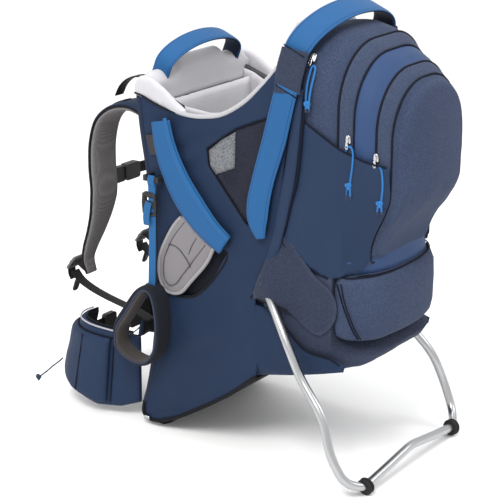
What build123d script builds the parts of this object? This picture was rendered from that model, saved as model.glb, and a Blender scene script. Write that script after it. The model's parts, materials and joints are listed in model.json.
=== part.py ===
from build123d import *
import math
import os

os.makedirs("parts", exist_ok=True)

# Framed child carrier, standing on its front base and its opened kickstand.
# Millimetres. +X is the wearer's right, +Y the wearer's forward direction, +Z up.
# The origin is the centre of the flat underside of the front base skid.

# ---- driving dimensions -------------------------------------------------
FRAME_D = 16.0            # main frame tube
HOOP_D = 14.0             # cockpit hoops
KICK_D = 14.0             # kickstand tube
KICK_WALL = 1.4
PANEL_IN, PANEL_OUT = 128.0, 132.0      # side fabric, distance from the mid plane
STRAP_IN, STRAP_OUT = 138.0, 141.0      # side straps stand outside the fabric
UPRIGHT_X = 104.0
PIVOT = (150.0, -249.0, 296.0)          # kickstand hinge, right side
PIN_R = 4.0
PIN_GAP = 0.08
RING_R = 13.5                            # rubber rings, outer radius
RING_W = 9.0
BAR_Y = -420.0                           # kickstand foot bar
STRAP_W = 60.0                           # shoulder strap width
STRAP_T = 15.0
WEB_T = 2.0                              # webbing thickness
CORD_D = 3.0                             # zip pull cord
WAIST_X, WAIST_Y = 121.0, 29.0           # hip belt wing hinge
STRAP_X = 150.0                          # stirrup strap, distance from the mid plane
STIRRUP_X = 156.0                        # mid plane of the foot loop
STIRRUP_Y = -25.0                        # the stirrup hangs below this line


def save(builder, name):
    builder.part.label = name
    export_step(builder.part, f"parts/{name}.step")


def radii(points, cap=400.0):
    """The largest even arc at each corner: 0.45 of the shorter run over tan of half the turn."""
    out = []
    for a, b, c in zip(points, points[1:], points[2:]):
        u, v = Vector(*b) - Vector(*a), Vector(*c) - Vector(*b)
        turn = math.radians(u.get_angle(v))
        out.append(min(cap, 0.45 * min(u.length, v.length) / math.tan(turn / 2)))
    return out


def side_plane(x):
    """The YZ plane at x: local axes are Y and Z, and it faces +X."""
    return Plane.YZ.offset(x)


def left_slab(points, inner, outer, holes=()):
    """A flat piece on the left side, between two distances from the mid plane."""
    with BuildPart() as slab:
        with BuildSketch(side_plane(-outer)):
            with BuildLine():
                Polyline(*points, close=True)
            make_face()
            for hole in holes:
                with BuildLine():
                    Polyline(*hole, close=True)
                make_face(mode=Mode.SUBTRACT)
        extrude(amount=outer - inner)
    return slab


def mirrored(builder):
    with BuildPart() as other:
        mirror(builder.part, about=Plane.YZ)
    return other


def both_sides(builder):
    with BuildPart() as pair:
        add(builder.part)
        mirror(builder.part, about=Plane.YZ)
    return pair


def tube(points, d, wall=0.0, cap=400.0):
    with BuildPart() as pipe:
        with BuildLine() as path:
            FilletPolyline(*points, radius=radii(points, cap))
        with BuildSketch(Plane(origin=path.line @ 0, z_dir=path.line % 0)):
            Circle(d / 2)
            if wall:
                Circle(d / 2 - wall, mode=Mode.SUBTRACT)
        sweep(path=path.line)
    return pipe


# ---- frame tubes --------------------------------------------------------
# The two uprights behind the wearer's back follow a shallow S.
BACK = [(5.0, 46.0), (-31.0, 205.0), (-31.0, 345.0), (-3.0, 548.0)]
upright = tube([(-UPRIGHT_X, y, z) for y, z in BACK], FRAME_D)
save(both_sides(upright), "back_uprights")

BASE_PATH = [(-112, -222, 240), (-112, 5, 17), (112, 5, 17), (112, -222, 240)]
base_tube = tube(BASE_PATH, FRAME_D, cap=38)
save(base_tube, "base_tube")

REAR_PATH = [
    (-116, -256, 322),
    (-116, -256, 612),
    (-70, -256, 672),
    (70, -256, 672),
    (116, -256, 612),
    (116, -256, 322),
]
rear_hoop = tube(REAR_PATH, HOOP_D, cap=60)
save(rear_hoop, "rear_hoop_tube")

HOOP_PATH = [(-116, -60, 546), (-112, 9, 571), (112, 9, 571), (116, -60, 546)]
front_hoop = tube(HOOP_PATH, HOOP_D, cap=32)
save(front_hoop, "front_hoop_tube")

# ---- kickstand pivots ---------------------------------------------------
with BuildPart() as hub:
    with BuildSketch(side_plane(-142.4)):
        with Locations((PIVOT[1], PIVOT[2])):
            Circle(17)
    extrude(amount=9.4)
    with BuildSketch(side_plane(-133.0)):
        with Locations((PIVOT[1], PIVOT[2])):
            Circle(12)
    extrude(amount=12.0)
    fillet(hub.edges().filter_by(GeomType.CIRCLE).group_by(Axis.X)[0], 2.5)
    with BuildSketch(side_plane(-145.0)):
        with Locations((PIVOT[1], PIVOT[2])):
            Circle(PIN_R)
    extrude(amount=30.0, mode=Mode.SUBTRACT)
save(both_sides(hub), "kickstand_hubs")

with BuildPart() as pin:
    with BuildSketch(side_plane(-157.4)):
        with Locations((PIVOT[1], PIVOT[2])):
            Circle(PIN_R)
    extrude(amount=38.0)
    chamfer(pin.edges().filter_by(GeomType.CIRCLE).group_by(Axis.X)[0], 0.8)
save(both_sides(pin), "kickstand_pivot_pins")

# ---- kickstand ----------------------------------------------------------
LEG = [
    (-150, -249 + 7.4, 296 + 15.0),
    (-150.5, -309, 175),
    (-161, -362, 121),
    (-171, -381, 69),
    (-164, -402, 28),
    (-136, -420, 13.5),
    (-70, -420, 22.5),
]
LEG_RIGHT = [(-x, y, z) for x, y, z in reversed(LEG)]
KICK_PATH = LEG + [(0, -420, 33.0)] + LEG_RIGHT
kick_radii = radii(KICK_PATH, 110)
with BuildPart() as kickstand:
    with BuildLine() as kick_line:
        FilletPolyline(*KICK_PATH, radius=kick_radii)
    with BuildSketch(Plane(origin=kick_line.line @ 0, z_dir=kick_line.line % 0)):
        Circle(KICK_D / 2)
        Circle(KICK_D / 2 - KICK_WALL, mode=Mode.SUBTRACT)
    sweep(path=kick_line.line)
    with BuildSketch(side_plane(-165)):
        with Locations((PIVOT[1], PIVOT[2])):
            Circle(PIN_R + PIN_GAP)
    extrude(amount=30, mode=Mode.SUBTRACT)
    with BuildSketch(side_plane(135)):
        with Locations((PIVOT[1], PIVOT[2])):
            Circle(PIN_R + PIN_GAP)
    extrude(amount=30, mode=Mode.SUBTRACT)
save(kickstand, "kickstand_tube")
print("kickstand radii", [round(r, 1) for r in kick_radii])

# The rubber rings sit where the foot bar meets the leg bends.
RING_DIR = (Vector(66, 0, 9.0)).normalized()
with BuildPart() as ring:
    with BuildSketch(Plane(origin=Vector(-130.0, -420, 14.3) - RING_DIR * RING_W / 2, z_dir=RING_DIR)):
        Circle(RING_R)
    extrude(amount=RING_W)
    fillet(ring.edges().filter_by(GeomType.CIRCLE), 2.2)
    with BuildLine() as bar_line:
        FilletPolyline(*KICK_PATH, radius=kick_radii)
    with BuildSketch(Plane(origin=bar_line.line @ 0, z_dir=bar_line.line % 0)):
        Circle(KICK_D / 2 + 0.05)
    sweep(path=bar_line.line, mode=Mode.SUBTRACT)
save(both_sides(ring), "kickstand_rings")

# ---- base skid ----------------------------------------------------------
with BuildPart() as skid:
    with BuildSketch(side_plane(-118)):
        with BuildLine():
            Polyline((-18, 0), (18, 0), (23, 8), (21, 33), (-6, 33), (-30, 16), close=True)
        make_face()
    extrude(amount=236)
    with BuildLine() as base_line:
        FilletPolyline(*BASE_PATH, radius=radii(BASE_PATH, 38))
    with BuildSketch(Plane(origin=base_line.line @ 0, z_dir=base_line.line % 0)):
        Circle(FRAME_D / 2 + 0.2)
    sweep(path=base_line.line, mode=Mode.SUBTRACT)
    with BuildSketch(Plane.XY.offset(34)):
        with Locations((-UPRIGHT_X, 2), (UPRIGHT_X, 2)):
            Rectangle(18, 40)
    extrude(amount=-13, mode=Mode.SUBTRACT)
save(skid, "base_skid")

# ---- back of the carrier ------------------------------------------------
def back_line(offset, low, high, count=9):
    """Points along the uprights' S, moved forward by offset."""
    known = [(46, 5), (100, -9), (160, -24), (205, -29.5), (275, -31), (345, -29.5), (400, -23), (470, -13), (548, -3)]
    out = []
    for i in range(count):
        z = low + (high - low) * i / (count - 1)
        for (z0, y0), (z1, y1) in zip(known, known[1:]):
            if z <= z1 or (z1, y1) == known[-1]:
                out.append((y0 + (y1 - y0) * (z - z0) / (z1 - z0) + offset, z))
                break
    return out


def back_slab(low, high, y0, y1, x0, x1, count=9):
    """A sheet or pad that follows the back, from y0 to y1 in front of the uprights' line."""
    front, rear = back_line(y1, low, high, count), back_line(y0, low, high, count)
    with BuildPart() as slab:
        with BuildSketch(side_plane(x0)):
            with BuildLine():
                Spline(*front)
                Line(front[-1], rear[-1])
                Spline(*reversed(rear))
                Line(rear[0], front[0])
            make_face()
        extrude(amount=x1 - x0)
    return slab


save(back_slab(52, 546, -1.5, 1.5, -94, 94), "framesheet")
save(both_sides(back_slab(215, 498, 2.2, 17, -94, -60)), "back_pads")

with BuildPart() as lumbar:
    with BuildSketch(side_plane(-92)):
        front, rear = back_line(0, 66, 205, 7), back_line(2.2, 66, 205, 7)
        bulge = [18, 31, 40, 44, 42, 33, 20]
        face = [(y + b, z) for (y, z), b in zip(front, bulge)]
        with BuildLine():
            Spline(*face)
            Line(face[-1], rear[-1])
            Spline(*reversed(rear))
            Line(rear[0], face[0])
        make_face()
    extrude(amount=184)
save(lumbar, "lumbar_pad")

# ---- side fabric --------------------------------------------------------
SIDE = [
    (10, 566), (3, 507), (-7, 446), (-17, 385), (-20, 330), (-20, 250), (-12, 150), (4, 70), (15, 36), (14, 12),
    (-12, 9), (-50, 27), (-101, 57), (-160, 98), (-217, 144),
    (-213, 274), (-228, 316), (-250, 378), (-262, 480), (-272, 560), (-276, 606),
    (-250, 640), (-223, 609), (-190, 577), (-145, 551), (-105, 543), (-78, 546),
]
WINDOW = [(-122, 497), (-125, 470), (-198, 388), (-236, 420), (-246, 566), (-178, 537)]
LEG_HOLE = [(-34, 262), (-34, 330), (-62, 366), (-124, 344), (-160, 336), (-128, 282), (-92, 250), (-56, 244)]
side_left = left_slab(SIDE, PANEL_IN, PANEL_OUT, [WINDOW, LEG_HOLE])
save(side_left, "side_panel_left")
save(mirrored(side_left), "side_panel_right")

WINDOW_MESH = [(-124, 494.5), (-127, 471), (-198, 392), (-234, 423), (-243.5, 561), (-178, 533.5)]
save(both_sides(left_slab(WINDOW_MESH, 129, 131)), "mesh_windows")

THIGH = [(-60, 372), (-78, 390), (-100, 362), (-134, 341), (-122, 316), (-91, 279), (-70, 256), (-54, 251), (-40, 254), (-31, 272), (-32, 305), (-48, 342)]
thigh = left_slab(THIGH, 133, 137.4)
with BuildPart() as thigh_pad:
    add(thigh.part)
    fillet(thigh_pad.edges().filter_by(Axis.X), 3)
save(both_sides(thigh_pad), "thigh_pads")

BAND_FRONT = [
    (-23.5, 517), (-30, 479), (-50, 429), (-80, 386), (-112, 359), (-149, 338),
    (-174, 367), (-150, 387), (-123, 417), (-91, 456), (-66.5, 501), (-54.5, 537.5),
]
BAND_REAR = [
    (-258, 622), (-233.5, 536), (-213, 464), (-201, 423), (-202, 394), (-237, 369),
    (-245, 439), (-255, 471), (-275, 532), (-293.5, 607),
]
with BuildPart() as side_straps:
    add(left_slab(BAND_FRONT, STRAP_IN, STRAP_OUT).part)
    add(left_slab(BAND_REAR, STRAP_IN, STRAP_OUT).part)
    mirror(side_straps.part, about=Plane.YZ)
save(side_straps, "side_straps")

SLEEVE = [(-246, 647), (-263, 617), (-297, 599.5), (-291, 640), (-287, 656)]
save(both_sides(left_slab(SLEEVE, 133, 137.6)), "handle_sleeves")

# Webbing keepers on the front edges, and the rod that each foot stirrup hangs from.
KEEPER = [(-3, 500), (-13, 470), (-30, 472), (-20, 503)]
with BuildPart() as keeper:
    add(left_slab(KEEPER, 133, 137).part)
    with BuildSketch(side_plane(-STRAP_X - 3)):
        with Locations((-25, 436)):
            Rectangle(30, 9)
            Rectangle(15, 12, mode=Mode.SUBTRACT)
    extrude(amount=STRAP_X + 3 - 133)
    with BuildSketch(Plane.XZ.offset(12)):
        with Locations((-STRAP_X, 436)):
            Circle(2)
    extrude(amount=26)
save(both_sides(keeper), "edge_keepers")

# ---- cockpit padding ----------------------------------------------------
with BuildPart() as rim:
    with BuildSketch(side_plane(-126)):
        with BuildLine():
            Polyline((25, 556), (30, 580), (16, 597), (-2, 598), (-9, 586), (-9, 556), close=True)
        make_face()
    extrude(amount=252)
    with BuildSketch(side_plane(-127)):
        with BuildLine():
            Polyline((20, 556), (12, 592), (-9, 592), (-60, 572), (-100, 552), (-80, 548), (-9, 552), close=True)
        make_face()
    extrude(amount=17)
    with BuildSketch(side_plane(110)):
        with BuildLine():
            Polyline((20, 556), (12, 592), (-9, 592), (-60, 572), (-100, 552), (-80, 548), (-9, 552), close=True)
        make_face()
    extrude(amount=17)
    with BuildLine() as hoop_line:
        FilletPolyline(*HOOP_PATH, radius=radii(HOOP_PATH, 32))
    with BuildSketch(Plane(origin=hoop_line.line @ 0, z_dir=hoop_line.line % 0)):
        Circle(HOOP_D / 2 + 0.2)
    sweep(path=hoop_line.line, mode=Mode.SUBTRACT)
save(rim, "cockpit_rim_pad")

FRONT_WALL = back_line(-18, 300, 552, 6)
with BuildPart() as front_wall:
    with BuildSketch(side_plane(-92)):
        with BuildLine():
            Polyline(*FRONT_WALL, *[(y - 8, z) for y, z in reversed(FRONT_WALL)], close=True)
        make_face()
    extrude(amount=184)
save(front_wall, "front_wall_liner")

with BuildPart() as seat_back:
    with BuildSketch(Plane.XZ.offset(236)):
        with BuildLine():
            Polyline((-108, 341), (-108, 640), (-74, 694), (74, 694), (108, 640), (108, 341), close=True)
        make_face()
    extrude(amount=11)
save(seat_back, "seat_back_liner")

with BuildPart() as harness_child:
    with BuildSketch(Plane.XZ.offset(228)):
        with Locations((-36, 475), (36, 475)):
            RectangleRounded(34, 190, 12)
    extrude(amount=7.5)
    with BuildSketch(Plane.XZ.offset(218)):
        with Locations((0, 398)):
            RectangleRounded(44, 52, 12)
    extrude(amount=9.5)
save(harness_child, "child_harness")

# The padded saddle seat hangs between the side walls.
with BuildPart() as seat:
    with BuildSketch(side_plane(-52)):
        with BuildLine():
            Polyline((-62, 300), (-66, 322), (-90, 318), (-170, 308), (-224, 316), (-224, 284), (-170, 270), (-74, 276), close=True)
        make_face()
    extrude(amount=104)
    fillet(seat.edges().filter_by(Axis.X), 8)
save(seat, "seat_base")

# ---- handles ------------------------------------------------------------
def webbing_arch(plane, half, rise, thick, width, low=0.0):
    with BuildPart() as arch:
        with BuildSketch(plane):
            with BuildLine():
                Line((-half, low), (-half, 0))
                EllipticalCenterArc((0, 0), half, rise, start_angle=0, arc_size=180)
                Line((half, 0), (half, low))
                Line((half, low), (half - thick, low))
                Line((half - thick, low), (half - thick, 0))
                EllipticalCenterArc((0, 0), half - thick, rise - thick, start_angle=0, arc_size=180)
                Line((-half + thick, 0), (-half + thick, low))
                Line((-half + thick, low), (-half, low))
            make_face()
        extrude(amount=width / 2, both=True)
    return arch


REAR_LEAN = Plane(origin=(0, -275, 662), x_dir=(1, 0, 0), z_dir=(0, -0.93, -0.37))
save(webbing_arch(REAR_LEAN, 119, 62, 4, 42, -16), "rear_handle")
FRONT_LEAN = Plane(origin=(0, -1, 602), x_dir=(1, 0, 0), z_dir=(0, -0.93, -0.37))
save(webbing_arch(FRONT_LEAN, 92, 48, 4, 36, -2), "front_handle")


# ---- cargo bag ----------------------------------------------------------
def dome(y, half, low, high, r, foot=6.0):
    """A rounded arch outline at a given y, for the bag's layers."""
    with BuildSketch(Plane.XZ.offset(-y)) as section:
        with BuildLine():
            Polyline((-half, low), (-half, high), (half, high), (half, low), close=True)
        make_face()
        fillet(section.vertices().group_by(Axis.Y)[-1], r)
        fillet(section.vertices().group_by(Axis.Y)[0], foot)
    return section.sketch.face()


with BuildPart() as main_bag:
    loft([dome(-264.5, 126, 338, 684, 92), dome(-312, 121, 338, 690, 92), dome(-357, 113, 338, 668, 92)])
save(main_bag, "cargo_bag_main")

with BuildPart() as middle_bag:
    loft([dome(-357.5, 108, 345, 660, 90), dome(-384, 104, 345, 655, 88), dome(-409, 95, 345, 634, 84)])
save(middle_bag, "cargo_bag_middle")

with BuildPart() as front_pocket:
    loft([dome(-409.5, 92, 352, 628, 82), dome(-436, 88, 352, 625, 80), dome(-462, 70, 366, 606, 62, 20)])
save(front_pocket, "front_pocket")

with BuildPart() as lower_pocket:
    with BuildSketch(Plane.XY.offset(229)):
        with BuildLine():
            Polyline((-116, -345), (-116, -385), (-92, -420), (-45, -444), (45, -444), (92, -420), (116, -385), (116, -345), close=True)
        make_face()
    extrude(amount=108)
    fillet(lower_pocket.edges().group_by(Axis.Z)[0].filter_by(lambda e: e.center().Y < -350), 12)
save(lower_pocket, "lower_pocket")

with BuildPart() as bag_base:
    with BuildSketch(Plane.XY.offset(158)):
        with BuildLine():
            Polyline((-127, -226), (-127, -262), (-121, -344), (-108, -378), (-80, -402), (80, -402), (108, -378), (121, -344), (127, -262), (127, -226), close=True)
        make_face()
    extrude(amount=70.5)
    with BuildSketch(Plane.XY.offset(228.5)):
        with BuildLine():
            Polyline((-127, -226), (-127, -262), (-121, -344.5), (121, -344.5), (127, -262), (127, -226), close=True)
        make_face()
    extrude(amount=109)
    # Room for the frame's hoop ends, the base tube ends and the pivots.
    with BuildSketch(Plane.XY.offset(225)):
        with Locations((-116, -240), (116, -240)):
            Rectangle(30, 60)
    extrude(amount=120, mode=Mode.SUBTRACT)
    chamfer(bag_base.edges().group_by(Axis.Z)[0].filter_by(lambda e: e.center().Y < -370), 26)
save(bag_base, "bag_base")

# Fabric hoods over the pivots, open below where the legs come out.
HOOD = [(-252, 380), (-231, 330), (-216, 284), (-278, 284), (-300, 330), (-290, 372)]
with BuildPart() as hood:
    add(left_slab(HOOD, 142.8, 161.5).part)
    chamfer(hood.edges().group_by(Axis.X)[0].filter_by(lambda e: e.center().Z > 300), 9)
    with BuildSketch(side_plane(-158.4)):
        with Locations((PIVOT[1], PIVOT[2])):
            Circle(30)
    extrude(amount=40, mode=Mode.SUBTRACT)
save(both_sides(hood), "kickstand_covers")

# ---- lower compartment --------------------------------------------------
with BuildPart() as lower_bag:
    with BuildSketch(side_plane(-102)):
        with BuildLine():
            Polyline((-48, 238), (-46, 150), (-34, 90), (-33, 25), (-50, 26), (-101, 56), (-160, 97), (-222, 145), (-222, 238), close=True)
        make_face()
    extrude(amount=204)
save(lower_bag, "lower_compartment")

# ---- harness ------------------------------------------------------------
STRAP_LINE = [(24, 523), (52, 530), (88, 523), (117, 500), (131, 462), (134, 420), (132, 375), (138, 338), (151, 300), (166, 268), (173, 246), (167, 226)]


def thick_line(points, t):
    """Two rows of points, t apart, along a line of points in one plane."""
    up, down = [], []
    for i, p in enumerate(points):
        a, b = points[max(i - 1, 0)], points[min(i + 1, len(points) - 1)]
        d = math.hypot(b[0] - a[0], b[1] - a[1])
        n = (-(b[1] - a[1]) / d, (b[0] - a[0]) / d)
        up.append((p[0] + n[0] * t / 2, p[1] + n[1] * t / 2))
        down.append((p[0] - n[0] * t / 2, p[1] - n[1] * t / 2))
    return up, down


with BuildPart() as strap:
    up, down = thick_line(STRAP_LINE, STRAP_T)
    with BuildSketch(side_plane(-85 - STRAP_W / 2)):
        with BuildLine():
            Spline(*up)
            Line(up[-1], down[-1])
            Spline(*reversed(down))
            Line(down[0], up[0])
        make_face()
    extrude(amount=STRAP_W)
    with BuildSketch(Plane.XZ.offset(-220)):
        with BuildLine():
            Polyline((-115, 545), (-115, 360), (-108, 300), (-102, 250), (-98, 214), (-76, 214), (-74, 250), (-66, 300), (-55, 360), (-55, 545), close=True)
        make_face()
    extrude(amount=230, mode=Mode.INTERSECT)
save(strap, "shoulder_strap_left")
save(mirrored(strap), "shoulder_strap_right")

with BuildPart() as yoke:
    with BuildSketch(Plane.XZ.offset(-9)):
        with Locations((0, 523)):
            RectangleRounded(226, 34, 10)
    extrude(amount=-12)
    with BuildSketch(Plane.XZ.offset(-9)):
        with Locations((0, 478)):
            RectangleRounded(104, 110, 10)
    extrude(amount=-8)
save(yoke, "harness_yoke")

with BuildPart() as lifter:
    up, down = thick_line([(35.5, 579), (52, 577), (66, 573), (78, 565), (88, 553), (97, 536)], WEB_T)
    with BuildSketch(side_plane(-95)):
        with BuildLine():
            Spline(*up)
            Line(up[-1], down[-1])
            Spline(*reversed(down))
            Line(down[0], up[0])
        make_face()
    extrude(amount=20)
save(both_sides(lifter), "load_lifters")

# Ladder locks at the strap ends: a frame with two bars.
LOCK = Plane(origin=(-90, 197, 236), x_dir=(1, 0, 0), z_dir=(0, 0.78, 0.62))
with BuildPart() as lock:
    with BuildSketch(LOCK):
        RectangleRounded(32, 26, 4)
        with Locations((0, 6), (0, -5)):
            Rectangle(23, 5, mode=Mode.SUBTRACT)
    extrude(amount=3, both=True)
save(both_sides(lock), "strap_ladder_locks")

WEB = [(201, 219), (188, 206), (165, 196), (134, 188), (100, 182), (62, 176), (32, 167)]
with BuildPart() as lower_web:
    up, down = thick_line(WEB, WEB_T)
    with BuildSketch(side_plane(-111)):
        with BuildLine():
            Spline(*up)
            Line(up[-1], down[-1])
            Spline(*reversed(down))
            Line(down[0], up[0])
        make_face()
    extrude(amount=22)
save(both_sides(lower_web), "strap_lower_webbing")

# ---- sternum strap ------------------------------------------------------
STERNUM_Z, STERNUM_Y = 387.0, 143.5
with BuildPart() as sternum_left:
    with BuildSketch(Plane.XZ.offset(-STERNUM_Y)):
        with Locations((-60.5, STERNUM_Z)):
            Rectangle(71, 19)
    extrude(amount=-WEB_T)
save(sternum_left, "sternum_webbing_left")
with BuildPart() as sternum_right:
    with BuildSketch(Plane.XZ.offset(-STERNUM_Y)):
        with Locations((54, STERNUM_Z)):
            Rectangle(84, 19)
    extrude(amount=-WEB_T)
save(sternum_right, "sternum_webbing_right")
with BuildPart() as plug:
    with BuildSketch(Plane.XZ.offset(-(STERNUM_Y - 4))):
        with Locations((-34, STERNUM_Z)):
            RectangleRounded(20, 27, 3)
        with Locations((-17, STERNUM_Z)):
            Rectangle(20, 14)
    extrude(amount=-9)
    with BuildSketch(Plane.XZ.offset(-(STERNUM_Y - 0.3))):
        with Locations((-34.5, STERNUM_Z)):
            Rectangle(26, 19.6)
    extrude(amount=-2.6, mode=Mode.SUBTRACT)
save(plug, "sternum_plug")
with BuildPart() as socket:
    with BuildSketch(Plane.XZ.offset(-(STERNUM_Y - 6))):
        with Locations((-4.5, STERNUM_Z)):
            RectangleRounded(37, 28, 5)
    extrude(amount=-13)
    with BuildSketch(Plane.XZ.offset(-(STERNUM_Y - 4.4))):
        with Locations((-15, STERNUM_Z)):
            Rectangle(20, 14.8)
    extrude(amount=-9.8, mode=Mode.SUBTRACT)
    with BuildSketch(Plane.XZ.offset(-(STERNUM_Y - 0.3))):
        with Locations((12.4, STERNUM_Z)):
            Rectangle(8, 19.6)
    extrude(amount=-2.6, mode=Mode.SUBTRACT)
save(socket, "sternum_socket")

# ---- hip belt -----------------------------------------------------------
WING_TOP = [(-128, 29), (-131, 60), (-132, 95), (-128, 130), (-113, 158), (-88, 170), (-62, 168)]
WING_LOW = [(-128, 29), (-139, 60), (-148, 100), (-149, 145), (-137, 185), (-106, 214), (-72, 214)]


def wing_section(points, z):
    inner = []
    for i, p in enumerate(points):
        a, b = points[max(i - 1, 0)], points[min(i + 1, len(points) - 1)]
        d = math.hypot(b[0] - a[0], b[1] - a[1])
        inner.append((p[0] + (b[1] - a[1]) / d * 14, p[1] - (b[0] - a[0]) / d * 14))
    with BuildSketch(Plane.XY.offset(z)) as section:
        with BuildLine():
            Spline(*points)
            Line(points[-1], inner[-1])
            Spline(*reversed(inner))
            Line(inner[0], points[0])
        make_face()
    return section.sketch.face()


with BuildPart() as wing:
    loft([wing_section(WING_LOW, 12), wing_section(WING_TOP, 150)])
    # The lower edge rises towards the front and the rear.
    with BuildSketch(side_plane(-170)):
        with BuildLine():
            Polyline((20, 34), (60, 18), (105, 13), (150, 22), (190, 40), (232, 68), (232, 0), (20, 0), close=True)
        make_face()
    extrude(amount=130, mode=Mode.SUBTRACT)
    with BuildSketch(Plane.XY.offset(34)):
        with Locations((-WAIST_X, WAIST_Y)):
            Circle(7)
    extrude(amount=114)
save(wing, "hipbelt_wing_left")
save(mirrored(wing), "hipbelt_wing_right")

# Half of the waist buckle on the end of each wing, on its webbing.
with BuildPart() as belt_half:
    with BuildSketch(Plane.XZ.offset(-176)):
        with Locations((-51.6, 106)):
            Rectangle(22.2, 36)
    extrude(amount=-WEB_T)
    with BuildSketch(Plane.XZ.offset(-172.5)):
        with Locations((-33, 106)):
            RectangleRounded(30, 46, 6)
    extrude(amount=-9)
    with BuildSketch(Plane.XZ.offset(-175.7)):
        with Locations((-45, 106)):
            Rectangle(12, 36.6)
    extrude(amount=-2.6, mode=Mode.SUBTRACT)
save(belt_half, "waist_buckle_left")
save(mirrored(belt_half), "waist_buckle_right")

# ---- foot stirrups ------------------------------------------------------
LOOP_OUT = [
    (-18, 261), (-3, 252.7), (25.4, 215), (43.5, 185), (46.6, 158), (43, 138), (24, 126), (-4, 120.8),
    (-23, 125.6), (-40, 142), (-49, 163.5), (-51.7, 199), (-46.5, 240), (-36.6, 258.4),
]
LOOP_IN = [
    (-22, 252), (-11, 240), (13, 203), (33, 176), (37, 157), (34, 146), (20, 135.5), (-3, 130.5),
    (-19, 135), (-31, 148), (-39, 167), (-41.5, 199), (-37, 236), (-31, 251),
]
with BuildPart() as loop:
    add(left_slab(LOOP_OUT, STIRRUP_X - 17, STIRRUP_X + 17, [LOOP_IN]).part)
save(loop, "stirrup_loop_left")
save(mirrored(loop), "stirrup_loop_right")

with BuildPart() as stirrup_strap:
    with BuildSketch(side_plane(-STRAP_X - WEB_T / 2)):
        with Locations((STIRRUP_Y, 348)):
            Rectangle(14, 169)
    extrude(amount=WEB_T)
    with BuildSketch(Plane.XZ.offset(18.2)):
        with Locations((-STRAP_X, 436)):
            Circle(4.2)
    extrude(amount=13.6)
    with BuildSketch(Plane.XZ.offset(5)):
        with Locations((-STRAP_X, 436)):
            Circle(2.1)
    extrude(amount=40, mode=Mode.SUBTRACT)
    # Ladder lock that the strap runs through.
    with BuildSketch(side_plane(-STRAP_X - 3.5)):
        with Locations((STIRRUP_Y + 4, 394)):
            RectangleRounded(27, 37, 4)
            with Locations((-4, 9), (-4, -9)):
                Rectangle(16, 5, mode=Mode.SUBTRACT)
    extrude(amount=7)
save(stirrup_strap, "stirrup_strap_left")
save(mirrored(stirrup_strap), "stirrup_strap_right")


# ---- zip sliders and their cord pulls ----------------------------------
def slider(name, place, lean=0.0):
    frame = Plane(origin=place, x_dir=(0, 1, 0), z_dir=(-math.cos(lean), 0, math.sin(lean)))
    with BuildPart() as piece:
        with BuildSketch(frame):
            RectangleRounded(9, 13, 2.5)
        extrude(amount=4)
        with BuildSketch(frame.offset(4)):
            with Locations((0, -2)):
                RectangleRounded(4, 8, 1.5)
        extrude(amount=2)
    save(piece, name)


TOP_SLIDER = (-106.5, -299, 654.4)
MIDDLE_SLIDER = (-110.5, -363.5, 545)
FRONT_SLIDER = (-100.4, -405.0, 522)
slider("zip_slider_top", TOP_SLIDER, math.radians(36))
slider("zip_slider_middle", MIDDLE_SLIDER)
slider("zip_slider_front", FRONT_SLIDER)

PULL_TOP = [
    (-133.2, -304.0, 582), (-132.0, -302.5, 594), (-127.2, -301.5, 620), (-119.0, -301.5, 638), (-116.4, -302.5, 645.5),
    (-116.4, -308.0, 645.5), (-119.6, -310.0, 637), (-127.5, -309.0, 619), (-132.4, -308.0, 596), (-134.0, -310.0, 583),
]
PULL_MIDDLE = [
    (-115.0, -364.6, 458), (-115.0, -365.4, 478), (-115.0, -361.6, 503), (-115.0, -361.4, 527), (-115.0, -364.4, 535.4),
    (-115.0, -371.4, 535.6), (-115.0, -375.0, 527), (-115.0, -373.6, 503), (-115.0, -369.6, 479), (-115.0, -371.8, 459),
]
PULL_FRONT = [
    (-103, -410.6, 440), (-103, -411.6, 456), (-103, -409.6, 480), (-103, -404.0, 503), (-103, -405.0, 511.2),
    (-103, -412.0, 512.0), (-103, -416.4, 504), (-103, -419.0, 480), (-103, -416.0, 457), (-103, -418.0, 441),
]
BELT_CORD = [(-116, 213, 62), (-118, 223, 52), (-119.5, 235, 42.5), (-122, 245.5, 31.5), (-123, 257, 22), (-126, 268, 12.5)]
for name, route in (("zip_pull_top", PULL_TOP), ("zip_pull_middle", PULL_MIDDLE), ("zip_pull_front", PULL_FRONT), ("hipbelt_cord_left", BELT_CORD)):
    cord = tube(route, CORD_D)
    bends = radii(route)
    length = sum((Vector(*b) - Vector(*a)).length for a, b in zip(route, route[1:]))
    print(name, "radii", [round(r, 1) for r in bends], "volume share", round(cord.part.volume / (math.pi * CORD_D**2 / 4 * length), 3), "runs", round(length, 1))
    save(cord, name)
    if name.startswith("hipbelt"):
        save(mirrored(cord), "hipbelt_cord_right")
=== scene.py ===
import bpy, bmesh, json, math
import numpy as np
from mathutils import Vector, Matrix, noise
from mathutils.geometry import delaunay_2d_cdt

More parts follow.
